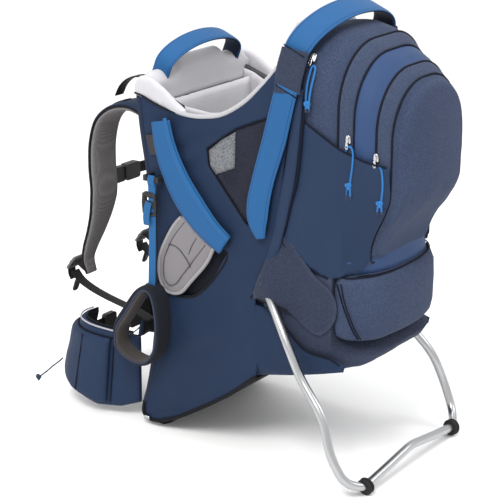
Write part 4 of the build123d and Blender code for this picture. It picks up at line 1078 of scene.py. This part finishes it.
# Smooth navy side of the bag, with its slanting upper edge.
SIDEBAG = [(-262, 372), (-268, 420), (-276, 480), (-284, 540), (-288, 570), (-304, 561), (-358, 529), (-392, 516), (-424, 510), (-427, 470), (-426, 430), (-424, 356), (-400, 342), (-368, 338), (-340, 328), (-300, 344)]


def bag_x(u, v):
    x = np.interp(-u, [262, 300, 346, 356, 372, 392, 404, 420, 428], [128.6, 126.5, 119.8, 117.8, 112.6, 107.6, 105.2, 99.5, 95.0])
    return x + np.where(v < 352, 0.0, 0.0)


t = panel("bag_side_left", SIDEBAG, lambda u, v, w: np.stack([-(bag_x(u, v) + w), u, v], -1), NAVY_SMOOTH, "frame", thick=3.6, edge=1.2, rim=7, step=6,
          crown=lambda u, v: 1.6 * wobble(u, v, 0, 60, 4.0) + 0.6 * wobble(u, v, 0, 24, 2.0), pad=0.25)
mirror_of(t, "bag_side_right", "frame")
edge_pts = [(-288, 570), (-304, 561), (-358, 529), (-392, 516), (-422, 510)]
t = tube("bag_side_edge_left", np.array([(-(bag_x(np.array(u), np.array(v)) + 2.0), u, v) for u, v in spline(edge_pts, 40)]), 1.4, SEAM, "frame", n=8)
mirror_of(t, "bag_side_edge_right", "frame")
edge_pts = [(-262, 372), (-300, 343), (-340, 329)]
t = tube("bag_side_low_edge_left", np.array([(-(float(bag_x(np.array(u), np.array(v))) + 1.6), u, v) for u, v in spline(edge_pts, 40)]), 1.2, SEAM, "frame", n=8)
mirror_of(t, "bag_side_low_edge_right", "frame")

# Padded ridge where the bag joins the body.
ridge = spline([(-129, -292, 612), (-131, -291, 575), (-132, -287, 530), (-132.5, -280, 478), (-132.5, -272, 440), (-132.5, -262, 392), (-132.5, -250, 352), (-132, -238, 322)], 80)
t = ribbon("ridge_left", ridge + np.array([0, 4.0, 0]), (0, 1, 0.15), 21 - 4 * np.abs(np.linspace(-1, 1, 80)), 10, NAVY_SMOOTH, "frame", p=2.3, q=2.1, pad=0.7)
mirror_of(t, "ridge_right", "frame")
t = tube("ridge_seam_left", spline([(-130, -301, 600), (-132, -297, 555), (-132.6, -289, 478), (-132.8, -279, 440), (-133.2, -268, 396), (-133.6, -254, 356), (-134, -239, 320), (-133.6, -222, 296), (-133, -205, 272)], 90), 1.7, SEAM, "frame", n=8)
mirror_of(t, "ridge_seam_right", "frame")

# Heather hood over the pivot, with the slot that the leg comes out of. It uses the darker heather copy, which paints
# the shade on this lower part.
HOOD = [(-246, 362), (-262, 384), (-300, 352), (-322, 330), (-346, 312), (-356, 290), (-352, 262), (-330, 238), (-304, 246), (-276, 268), (-262, 275), (-244, 279), (-226, 277), (-205, 272), (-226, 306)]


def hood_place(u, v, w):
    d = np.exp(-(((u + 250) / 34.0) ** 2 + ((v - 303) / 36.0) ** 2))
    low = np.clip((268 - v) / 40, 0, 1)
    x = 128.5 + 30.5 * d - 6 * np.clip((-u - 318) / 40, 0, 1) + 0 * low
    return np.stack([-(x + w), u, v], -1)


t = panel("pivot_hood_left", HOOD, hood_place, HEATHER_DARK, "frame", thick=3.2, edge=1.4, rim=6, step=5, crown=lambda u, v: 1.0 * wobble(u, v, 0, 30, 3.0), replaces="kickstand_covers", smooth_outline=True, pad=0.4)
mirror_of(t, "pivot_hood_right", "frame")
slot_rim = np.array([(-276, 268), (-262, 275), (-244, 279), (-226, 277)])
q = spline(slot_rim, 30)
hp = hood_place(q[:, 0], q[:, 1], np.full(30, 0.5))
t = tube("slot_binding_left", hp, 2.4, BLACK_FABRIC, "frame", n=8)
mirror_of(t, "slot_binding_right", "frame")

# Lower compartment between the side walls, and the base skid.
low_pts = [(-48, 236), (-46, 150), (-34, 90), (-33, 27), (-50, 28), (-101, 58), (-160, 99), (-220, 146), (-220, 236)]
G = []
for x in (-124, -118, -60, 0, 60, 118, 124):
    q = even(np.array(low_pts + low_pts[:1]), 90, True)
    c = q.mean(0)
    s = 0.96 if abs(x) > 120 else 1.0
    q = c + (q - c) * s
    G.append(np.stack([np.full(90, float(x)), q[:, 0], q[:, 1]], -1))
rumple(surface("lower_body", np.array(G), NAVY, "frame", cap=True, replaces="lower_compartment", pad=0.6), lambda x, y, z: 1.2 * wobble(x, y, z, 40, 3.0) if abs(x) < 100 else 0)
panel("boat_bottom", [(-14, -120), (-14, 120), (-60, 124), (-214, 124), (-214, -124), (-60, -124)], lambda u, v, w: np.stack([v, u, np.interp(-u, [12, 50, 101, 160, 216], [9, 26, 55, 96, 141]) - 1.0 + w], -1), BLACK_FABRIC, "frame", thick=4, edge=2, rim=8, step=12, crown=lambda u, v: 0.8 * wobble(u, v, 0, 40, 3.0), pad=0.3)
sk = []
for x in np.linspace(-119, 119, 41):
    e = max(0, (abs(x) - 105) / 14.0)
    ring = [(-19, 0.3), (0, 0.0), (17, 0.3), (22.5, 5), (24, 16), (22, 30), (12, 34), (-4, 34), (-14, 28), (-24, 18), (-29, 12), (-26, 5)]
    ring = [((y + 2) * (1 - 0.25 * e ** 2) - 2, 17 + (z - 17) * (1 - 0.0 * e) + (0.0 if z < 1 else 0.5 * wobble(x, y, z, 25, 2.0))) for y, z in ring]
    q = spline(ring, 40, True)
    sk.append(np.stack([np.full(40, float(x)), q[:, 0], np.maximum(q[:, 1], 0.0)], -1))
surface("base_skid_look", np.array(sk), BLACK_FABRIC, "frame", cap=True, replaces="base_skid", pad=0.8)
t = panel("base_zip_slider_left", [(2, 10.5), (2, 16.5), (13, 16.5), (13, 10.5)], on_left(136.2), ZIP_METAL, "frame", thick=2.6, edge=1.4, rim=2, step=2)
mirror_of(t, "base_zip_slider_right", "frame")

# ------------------------------------------------------------ wearer's side: back pads, lumbar, yoke
for s, nm in ((-1, "left"), (1, "right")):
    panel("back_pad_%s" % nm, [(s * 95, 222), (s * 96, 360), (s * 92, 470), (s * 84, 496), (s * 64, 496), (s * 59, 470), (s * 59, 360), (s * 59, 222)][::s], along_back(9.5), BACK_MESH, "frame", thick=17, edge=5, rim=14, step=6,
          crown=lambda u, v: 0.8 * wobble(u, v, 0, 40, 3.0), seams=[([(s * 60, 290), (s * 95, 290)], 3.5, 3.0), ([(s * 60, 360), (s * 95, 360)], 3.5, 3.0), ([(s * 60, 430), (s * 95, 430)], 3.5, 3.0)], **({"replaces": "back_pads"} if s < 0 else {}), pad=0.7)
lumb = panel("lumbar_cushion", [(-92, 74), (-94, 140), (-92, 196), (-80, 205), (0, 208), (80, 205), (92, 196), (94, 140), (92, 74), (78, 66), (0, 64), (-78, 66)][::-1],
             lambda u, v, w: np.stack([u, np.array([back_y(z) for z in np.ravel(v)]) + np.interp(v, [64, 88, 110, 136, 160, 182, 208], [12, 26, 35, 38, 36, 27, 12]) * 0.62 + w, v], -1), BACK_MESH, "frame", thick=26, edge=7, rim=22, step=6,
             crown=lambda u, v: -5.0 * math.exp(-(u / 16.0) ** 2), seams=[([(-86, 118), (86, 118)], 3.2, 3.5), ([(-86, 156), (86, 156)], 3.2, 3.5), ([(0, 70), (0, 204)], 2.5, 5)], replaces="lumbar_pad", pad=0.75)
yk = panel("yoke_pad", [(-112, 510), (-112, 534), (-104, 539), (104, 539), (112, 534), (112, 510), (104, 506), (56, 506), (50, 498), (51, 430), (44, 424), (-44, 424), (-51, 430), (-50, 498), (-56, 506), (-104, 506)][::-1],
           lambda u, v, w: np.stack([u, 15.0 + w, v], -1), STRAP_MESH, "harness", thick=11, edge=4, rim=10, step=5.5, seams=[([(-46, 470), (46, 470)], 2.5, 3), ([(-100, 508), (100, 508)], 2.0, 2.5)], replaces="harness_yoke", pad=0.6)

# ------------------------------------------------------------ shoulder straps
STRAP_LINE = [(22, 523), (52, 530), (88, 523), (117, 500), (131, 462), (134, 420), (132, 375), (138, 338), (151, 300), (165, 268), (171, 246), (166, 222)]
sp = spline(STRAP_LINE, 90)
zz = np.linspace(0, 1, 90)
xl = np.interp(sp[:, 1], [214, 250, 300, 360, 545], [-98, -102, -108, -115, -115])
xr = np.interp(sp[:, 1], [214, 250, 300, 360, 545], [-76, -74, -66, -55, -55])
front_part = np.arange(90) < 25
xl[front_part], xr[front_part] = -115, -55
P = np.c_[(xl + xr) / 2, sp]
wd = np.maximum(np.abs(xr - xl), 21) - 1.0
thk = np.interp(zz, [0, 0.1, 0.5, 0.85, 1], [11, 14, 15, 12.5, 8])
T = tangents(P)
Nrm = np.cross(T, np.array([1.0, 0, 0]))
Nrm /= np.linalg.norm(Nrm, axis=1, keepdims=True)
mid_i = 45
if Nrm[mid_i][1] < 0:
    Nrm = -Nrm
inner_pad = ribbon("shoulder_pad_left", P - Nrm * 1.6, (1, 0, 0), wd, thk - 3, STRAP_MESH, "harness", p=3.6, q=2.3, n=36, replaces="shoulder_strap_left", pad=0.7)
mirror_of(inner_pad, "shoulder_pad_right", "harness", "shoulder_strap_right")
outer = ribbon("shoulder_face_left", P + Nrm * (thk[:, None] / 2 - 2.0), (1, 0, 0), wd + 0.6, 4.4, NAVY, "harness", p=4, q=2.2, n=28, pad=0.4)
mirror_of(outer, "shoulder_face_right", "harness")
for s, nm in ((-1, "outer"), (1, "inner")):
    e = P + np.c_[s * (wd / 2 + 0.2), np.zeros(90), np.zeros(90)] + Nrm * (thk[:, None] / 2 - 4.4)
    t = tube("shoulder_edge_%s_left" % nm, e, 1.9, BLACK_FABRIC, "harness", n=8)
    mirror_of(t, "shoulder_edge_%s_right" % nm, "harness")
daisy = P[12:74] + Nrm[12:74] * (thk[12:74, None] / 2 + 1.0)
t = ribbon("shoulder_web_left", daisy, (1, 0, 0), 19, 2.0, BLACK_WEB, "harness", p=6)
mirror_of(t, "shoulder_web_right", "harness")
# Load lifters from the hoop to the strap.
lift_l = spline([(-83, 34, 580), (-84, 46, 578.5), (-84, 60, 575.5), (-84, 74, 568.5), (-84, 86, 557), (-84, 95, 541)], 40)
t = ribbon("load_lifter_left", lift_l, (1, 0, 0), 21, 2.6, BLACK_WEB, "harness", p=6, replaces="load_lifters")
mirror_of(t, "load_lifter_right", "harness")
# Ladder locks below the straps.
LOCKP = flat_at((-90, 198, 236), (1, 0, 0), (0, -0.62, 0.78))
t = panel("strap_lock_left", [(-15, -13), (-15, 13), (-12, 15), (12, 15), (15, 13), (15, -13), (11, -16), (-11, -16)], LOCKP, GREY_PLASTIC, "harness", thick=5.5, edge=3.2, rim=3, step=2.4, holes=[[(-11.5, 4), (-11.5, 9), (11.5, 9), (11.5, 4)], [(-11.5, -7), (-11.5, -1.5), (11.5, -1.5), (11.5, -7)]], replaces="strap_ladder_locks")
mirror_of(t, "strap_lock_right", "harness")
t = ribbon("strap_tail_left", spline([(-90, 168, 226), (-90, 178, 231), (-90, 190, 238), (-90, 201, 239), (-90, 205, 233)], 24), (1, 0, 0), 20, 2.0, BLACK_WEB, "harness", p=6)
mirror_of(t, "strap_tail_right", "harness")
t = ribbon("strap_lock_tail_left", spline([(-90, 201, 232), (-90, 207, 226), (-90, 208, 214), (-90, 203, 204)], 24), (1, 0, 0), 19, 1.8, BLACK_WEB, "harness", p=6)
mirror_of(t, "strap_lock_tail_right", "harness")
WEBL = [(201, 219), (188, 206), (165, 196), (134, 188), (100, 182), (62, 176), (32, 167)]
wl = spline(WEBL, 60)
for s, nm in ((-1, "left"), (1, "right")):
    o = ribbon("lower_strap_web_%s" % nm, np.c_[np.full(60, s * 90.0), wl], (1, 0, 0), 20, 2.0, BLACK_WEB, None, p=6, **({"replaces": "strap_lower_webbing"} if s < 0 else {}))
    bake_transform(o)
PT = flat_at((-92, 196, 196), (1, 0, 0), (0, -0.35, 0.94))
t = panel("pull_tab_left", [(-5.5, -12), (-6.5, 0), (-5.5, 11), (0, 13), (5.5, 11), (6.5, 0), (5.5, -12), (0, -14)], PT, BLACK_PLASTIC, "harness", thick=5, edge=2.4, rim=4, step=2.4, smooth_outline=True)
mirror_of(t, "pull_tab_right", "harness")

# Sternum strap and its buckle.
ribbon("sternum_web_left", np.array([(x, 144.5, 387 + 0.4 * math.sin(x / 9)) for x in np.linspace(-96, -26, 30)]), (0, 0, 1), 19, 2.2, BLACK_WEB, "sternum", p=6, replaces="sternum_webbing_left")
ribbon("sternum_web_right", np.array([(x, 144.5, 387 + 0.4 * math.sin(x / 9)) for x in np.linspace(13, 96, 34)]), (0, 0, 1), 19, 2.2, BLACK_WEB, "sternum_socket_half", p=6, replaces="sternum_webbing_right")
hard("sternum_plug", BLACK_PLASTIC, "sternum", 1.0)
hard("sternum_socket", BLACK_PLASTIC, "sternum_socket_half", 1.2)

# ------------------------------------------------------------ hip belt
TOPW = [(-128, 29), (-131, 60), (-132, 95), (-128, 130), (-113, 158), (-88, 170), (-62, 168)]
LOWW = [(-128, 29), (-139, 60), (-148, 100), (-149, 145), (-137, 185), (-106, 214), (-72, 214)]
TW, LW = spline(TOPW, 70), spline(LOWW, 70)


def wing_low(y):
    return float(np.interp(y, [20, 60, 105, 150, 190, 232], [34, 18, 13, 22, 40, 68]))


def wing_point(i, z, w):
    s = 0.26 + 0.74 * (150 - z) / 138.0
    p = TW[i] + (LW[i] - TW[i]) * s
    a, b = TW[max(i - 1, 0)] + (LW[max(i - 1, 0)] - TW[max(i - 1, 0)]) * s, TW[min(i + 1, 69)] + (LW[min(i + 1, 69)] - TW[min(i + 1, 69)]) * s
    d = (b - a) / max(np.linalg.norm(b - a), 1e-6)
    nrm = np.array([d[1], -d[0]])
    return np.array([p[0] + nrm[0] * (14 - w), p[1] + nrm[1] * (14 - w), z])


def wing_sheet(name, i0, i1, zlo, zhi, w_in, w_out, mat, body, rim=0.2, fold=None, nz=26, **kw):
    """A padded piece of the wing, w from the inner face (0) to the outer face (14)."""
    idx = np.arange(i0, i1 + 1)
    top, bot = [], []
    for i in idx:
        y = TW[i][1] + (LW[i][1] - TW[i][1]) * 0.6
        lo, hi = zlo(y), zhi(y)
        rt, rb = [], []
        for j, t in enumerate(np.linspace(0, 1, nz)):
            z = lo + (hi - lo) * t
            e = min(t, 1 - t) * (hi - lo)
            ei = min(i - i0, i1 - i) * 3.0
            k = math.sqrt(max(0, 1 - (1 - min(1, e / 12.0)) ** 2)) * math.sqrt(max(0.02, 1 - (1 - min(1, ei / 12.0)) ** 2))
            mid = (w_in + w_out) / 2
            h = (w_out - w_in) / 2 * (0.3 + 0.7 * k)
            f = fold(y, z) if fold else 0
            rt.append(wing_point(i, z, mid + h + f * k))
            rb.append(wing_point(i, z, mid - h))
        top.append(rt)
        bot.append(rb[::-1])
    G = np.concatenate([np.array(top), np.array(bot)], 1)
    return surface(name, G, mat, body, cap=True, **kw)


wing = wing_sheet("hip_wing_left", 0, 69, wing_low, lambda y: 150.0 if y > 60 else 146 + (y - 29) * 0.12, 0.5, 13.0, NAVY_SMOOTH, "hipbelt_left",
                  fold=lambda y, z: 0.8 * wobble(y, z, 0, 30, 3.0) + 0.5 * math.sin(y / 7.0) * max(0, wobble(y, z, 0, 30, 6.0)), nz=40, replaces="hipbelt_wing_left", pad=0.7)
mirror_of(wing, "hip_wing_right", "hipbelt_right", "hipbelt_wing_right")
liner = wing_sheet("hip_liner_left", 1, 68, lambda y: wing_low(y) + 3, lambda y: 147.0, -1.0, 2.6, BLACK_FABRIC, "hipbelt_left", nz=20, pad=0.3)
mirror_of(liner, "hip_liner_right", "hipbelt_right")
pocket = wing_sheet("hip_pocket_left", 18, 62, lambda y: wing_low(y) + 9, lambda y: 137.0, 11.0, 24.5, NAVY_SMOOTH, "hipbelt_left",
                    fold=lambda y, z: 1.0 * wobble(y, z, 0, 26, 5.0) + 1.6 * math.sin(y / 5.5) * math.exp(-((z - 137) / 14.0) ** 2) * max(0, 0.5 + wobble(y, z, 0, 30, 6.0)), nz=34, pad=0.7)
mirror_of(pocket, "hip_pocket_right", "hipbelt_right")
for nm, z0, w, r, mat in (("hip_piping", 150.6, 12.6, 1.5, LINER_EDGE), ("hip_zip_line", 139.5, 14.6, 1.7, SEAM), ("hip_top_edge", 151, 2.0, 1.8, BLACK_FABRIC)):
    pts = np.array([wing_point(i, z0 if nm != "hip_zip_line" else z0 - 2.0 * math.sin(i / 69 * math.pi), w) for i in range(6 if nm != "hip_zip_line" else 17, 68 if nm != "hip_zip_line" else 63)])
    t = tube(nm + "_left", pts, r, mat, "hipbelt_left", n=8)
    mirror_of(t, nm + "_right", "hipbelt_right")
for nm, i in (("hip_seam_a", 16), ("hip_seam_b", 36)):
    pts = np.array([wing_point(i, z, 14.2 if nm == "hip_seam_a" else 24.9) for z in np.linspace(24 if i < 20 else 34, 136, 30)])
    t = tube(nm + "_left", pts, 1.0, SEAM, "hipbelt_left", n=6)
    mirror_of(t, nm + "_right", "hipbelt_right")
bk = hard("waist_buckle_left", BLACK_PLASTIC, "hipbelt_left", 1.0)
hard("waist_buckle_right", BLACK_PLASTIC, "hipbelt_right", 1.0)
for s, nm in ((-1, "left"), (1, "right")):
    ribbon("waist_web_%s" % nm, np.array([(s * x, 177, 106) for x in np.linspace(76, 41, 14)]), (0, 0, 1), 37, 2.6, BLACK_WEB, "hipbelt_%s" % nm, p=7)

# ------------------------------------------------------------ foot stirrups
LO = [(-18, 261), (-3, 252.7), (25.4, 215), (43.5, 185), (46.6, 158), (43, 138), (24, 126), (-4, 120.8), (-23, 125.6), (-40, 142), (-49, 163.5), (-51.7, 199), (-46.5, 240), (-36.6, 258.4)]
LI = [(-22, 252), (-11, 240), (13, 203), (33, 176), (37, 157), (34, 146), (20, 135.5), (-3, 130.5), (-19, 135), (-31, 148), (-39, 167), (-41.5, 199), (-37, 236), (-31, 251)]
A, B = spline(LO, 96, True), spline(LI, 96, True)
M = (A + B) / 2
rad = (A - B) / np.linalg.norm(A - B, axis=1, keepdims=True)
wdt = np.linalg.norm(A - B, axis=1)
Pl = np.c_[np.full(96, -156.0), M + rad * (wdt[:, None] * 0.16)]
o = ribbon("stirrup_left_loop", Pl, (1, 0, 0), 34.5, wdt * 0.66, STIRRUP_CLOTH, "stirrup_left", closed=True, p=4.2, q=2.4, n=32, replaces="stirrup_loop_left", pad=0.5)
mirror_of(o, "stirrup_right_loop", "stirrup_right", "stirrup_loop_right")
Pl2 = np.c_[np.full(96, -156.0), M - rad * (wdt[:, None] * 0.26)]
o = ribbon("stirrup_left_lining", Pl2, (1, 0, 0), 32.0, wdt * 0.42, FOOT_LINING, "stirrup_left", closed=True, p=4.5, q=2.2, n=24, pad=0.4)
mirror_of(o, "stirrup_right_lining", "stirrup_right")
for s, k in ((-1, "a"), (1, "b")):
    o = tube("stirrup_left_edge_%s" % k, np.c_[np.full(96, -156.0 + s * 16.4), M - rad * (wdt[:, None] * 0.1)], 1.7, HEATHER_DARK, "stirrup_left", closed=True, n=8)
    mirror_of(o, "stirrup_right_edge_%s" % k, "stirrup_right")
st = spline([(-150, -25, 433), (-150.2, -25, 415), (-150.6, -25.5, 380), (-151, -25, 330), (-152.5, -24.6, 290), (-154, -24.5, 262), (-155, -24.2, 250)], 70)
o = ribbon("stirrup_left_strap_web", st, (0, 1, 0), 14, 2.2, BLUE_NARROW, "stirrup_left", p=6, replaces="stirrup_strap_left")
mirror_of(o, "stirrup_right_strap_web", "stirrup_right", "stirrup_strap_right")
o = ribbon("stirrup_left_strap_loop", spline([(-148.4, -25, 404), (-147.6, -25, 422), (-147.0, -25, 434), (-149.6, -25, 440.5), (-152.6, -25, 435), (-151.6, -25, 425)], 40), (0, 1, 0), 13.4, 1.8, BLUE_NARROW, "stirrup_left", p=6)
mirror_of(o, "stirrup_right_strap_loop", "stirrup_right")
LK = on_left(150.4)
o = panel("stirrup_lock_left", [(-34, 377), (-34.6, 394), (-33, 411), (-28, 413.5), (-12, 413.5), (-7, 410), (-5.6, 394), (-7, 378), (-12, 374.5), (-29, 374.5)], LK, BLACK_PLASTIC, "stirrup_left", thick=7.5, edge=4, rim=4, step=2.6, holes=[[(-30, 399), (-30, 405), (-14, 405), (-14, 399)], [(-30, 381), (-30, 388), (-14, 388), (-14, 381)]], smooth_outline=False)
mirror_of(o, "stirrup_lock_right", "stirrup_right")
o = ribbon("stirrup_left_tail", spline([(-154.5, -22, 398), (-156, -20, 388), (-156.5, -18, 372), (-155.5, -18, 360)], 24), (0, 1, 0), 13, 1.8, BLUE_NARROW, "stirrup_left", p=6)
mirror_of(o, "stirrup_right_tail", "stirrup_right")


TAPER = [o for o in bpy.data.objects if o.name.startswith(("bag_middle", "bag_front", "binding_", "zip_line_", "bag_side_", "bag_lower", "pocket_"))]
for o in TAPER:
    low = o.name.startswith(("bag_lower", "pocket_gusset", "pocket_top_seam"))
    for v in o.data.vertices:
        x, y, z = v.co / MM
        if y < -360:
            t = min(1, max(0, (470 - z) / 105))
            t = t * t * (3 - 2 * t)
            k = 0.55 * t
            if z < 350:
                k = 0.55 - 0.2 * min(1, (350 - z) / 25)
            v.co.y = (y + (-y - 360) * k) * MM
            v.co.x = x * (1 - 0.1 * t * min(1, (-y - 360) / 40) * (0.3 if z < 335 else 1)) * MM
    o.data.update()

# ------------------------------------------------------------ zip sliders and cords
def slider(name, place, lean, body, node):
    lean = math.radians(lean)
    zd = np.array([-math.cos(lean), 0, math.sin(lean)])
    xd = np.array([0, 1.0, 0])
    fr = flat_at(place, -xd, -np.cross(zd, xd))
    sh = lambda off: (lambda u, v, w: fr(u, v, w + off))
    o = panel(name + "_body", [(-4.2, -6), (-4.6, 2), (-3, 6.2), (0, 6.8), (3, 6.2), (4.6, 2), (4.2, -6), (0, -6.8)], sh(2.0), ZIP_METAL, body, thick=3.4, edge=1.4, rim=2.6, step=1.7, smooth_outline=True, seams=[([(0, -6), (0, 3)], 0.5, 0.8)], replaces=node)
    panel(name + "_bridge", [(-1.7, -4), (-1.9, 3.8), (0, 4.6), (1.9, 3.8), (1.7, -4), (0, -4.8)], sh(4.6), ZIP_METAL, body, thick=2.4, edge=1.2, rim=1.4, step=1.1, smooth_outline=True)
    panel(name + "_tab", [(-2.6, -13.5), (-2.4, -5), (-1.4, -3), (1.4, -3), (2.4, -5), (2.6, -13.5), (0, -14.6)], sh(5.8), ZIP_METAL, body, thick=1.3, edge=0.8, rim=0.8, step=1.3, holes=[[(-1.2, -12.4), (-1.2, -9.4), (1.2, -9.4), (1.2, -12.4)]], smooth_outline=False)
    return o


slider("zip_top", (-106.5, -299, 654.4), 36, "top_zip", "zip_slider_top")
slider("zip_middle", (-110.5, -363.5, 545), 0, "middle_zip", "zip_slider_middle")
slider("zip_front", (-100.4, -405.0, 522), 0, "front_zip", "zip_slider_front")


def route_curve(name, pts, d, mat, body):
    cu = bpy.data.curves.new(name, "CURVE")
    cu.dimensions = "3D"
    sp_ = cu.splines.new("NURBS")
    sp_.points.add(len(pts) - 1)
    for p, q in zip(sp_.points, pts):
        p.co = (q[0] * MM, q[1] * MM, q[2] * MM, 1)
    sp_.order_u = 3
    sp_.use_endpoint_u = True
    sp_.resolution_u = 10
    cu.bevel_depth = d / 2 * MM
    cu.bevel_resolution = 4
    cu.use_fill_caps = True
    cu.materials.append(mat)
    o = bpy.data.objects.new(name, cu)
    bpy.context.scene.collection.objects.link(o)
    return o


def spline_length(o):
    me = bpy.data.meshes.new_from_object(o) if False else None
    cu = o.data.copy()
    cu.bevel_depth = 0
    tmp = bpy.data.objects.new("tmp_line", cu)
    bpy.context.scene.collection.objects.link(tmp)
    me = bpy.data.meshes.new_from_object(tmp)
    P = np.array([v.co[:] for v in me.vertices])
    bpy.data.objects.remove(tmp)
    bpy.data.meshes.remove(me)
    return float(np.linalg.norm(np.diff(P, axis=0), axis=1).sum()), P / MM


def knot(name, at, r, mat, body, axis=(0, 0, 1)):
    """A small overhand knot: a lumpy trefoil of cord."""
    t = np.linspace(0, 2 * math.pi, 60, endpoint=False)
    X = np.sin(t) + 2 * np.sin(2 * t)
    Y = np.cos(t) - 2 * np.cos(2 * t)
    Z = -np.sin(3 * t) * 1.6
    P = np.c_[Z * 0.5, X * 0.9, Y * 1.1] * r * 0.42 + np.array(at)
    return tube(name, P, r * 0.62, mat, body, closed=True, n=8)


PULLS = {
    "top": ("top_zip", "zip_pull_top", [
        (-133.2, -304.0, 582), (-132.0, -302.5, 594), (-127.2, -301.5, 620), (-119.0, -301.5, 638), (-116.4, -302.5, 645.5),
        (-116.4, -308.0, 645.5), (-119.6, -310.0, 637), (-127.5, -309.0, 619), (-132.4, -308.0, 596), (-134.0, -310.0, 583)], (-132.6, -305.6, 592)),
    "middle": ("middle_zip", "zip_pull_middle", [
        (-115.0, -364.6, 458), (-115.0, -365.4, 478), (-115.0, -361.6, 503), (-115.0, -361.4, 527), (-115.0, -364.4, 535.4),
        (-115.0, -371.4, 535.6), (-115.0, -375.0, 527), (-115.0, -373.6, 503), (-115.0, -369.6, 479), (-115.0, -371.8, 459)], (-115, -367.4, 477)),
    "front": ("front_zip", "zip_pull_front", [
        (-103, -410.6, 440), (-103, -411.6, 456), (-103, -409.6, 480), (-103, -404.0, 503), (-103, -405.0, 511.2),
        (-103, -412.0, 512.0), (-103, -416.4, 504), (-103, -419.0, 480), (-103, -416.0, 457), (-103, -418.0, 441)], (-103, -413.6, 455)),
}
for nm, (body, node, pts, kn) in PULLS.items():
    o = route_curve("pull_%s_cord" % nm, pts, 3.0, CORD, body)
    L, line = spline_length(o)
    settle(o, body, node)
    k = knot("pull_%s_knot" % nm, kn, 3.4, CORD, body)
    for j, e in enumerate((pts[0], pts[-1])):
        q = np.asarray(e, float)
        tube("pull_%s_end_%s" % (nm, "ab"[j]), np.array([q + np.array([0, 0, 3.0]), q + np.array([0, 0, 0.5]), q - np.array([0, 0, 2.0])]), [1.9, 2.0, 1.6], CORD_DARK, body, n=10)
BELT = [(-116, 213, 62), (-118, 223, 52), (-119.5, 235, 42.5), (-122, 245.5, 31.5), (-123, 257, 22), (-126, 268, 12.5)]
for s, nm in ((1, "left"), (-1, "right")):
    pts = [(s * x, y, z) for x, y, z in BELT]
    o = route_curve("belt_cord_%s" % nm, pts, 2.6, CORD_DARK, "hipbelt_" + nm)
    L, line = spline_length(o)
    settle(o, "hipbelt_" + nm, "hipbelt_cord_" + nm)
    k = knot("belt_cord_knot_" + nm, (s * -125, 265, 15.6), 3.4, CORD_DARK, "hipbelt_" + nm)
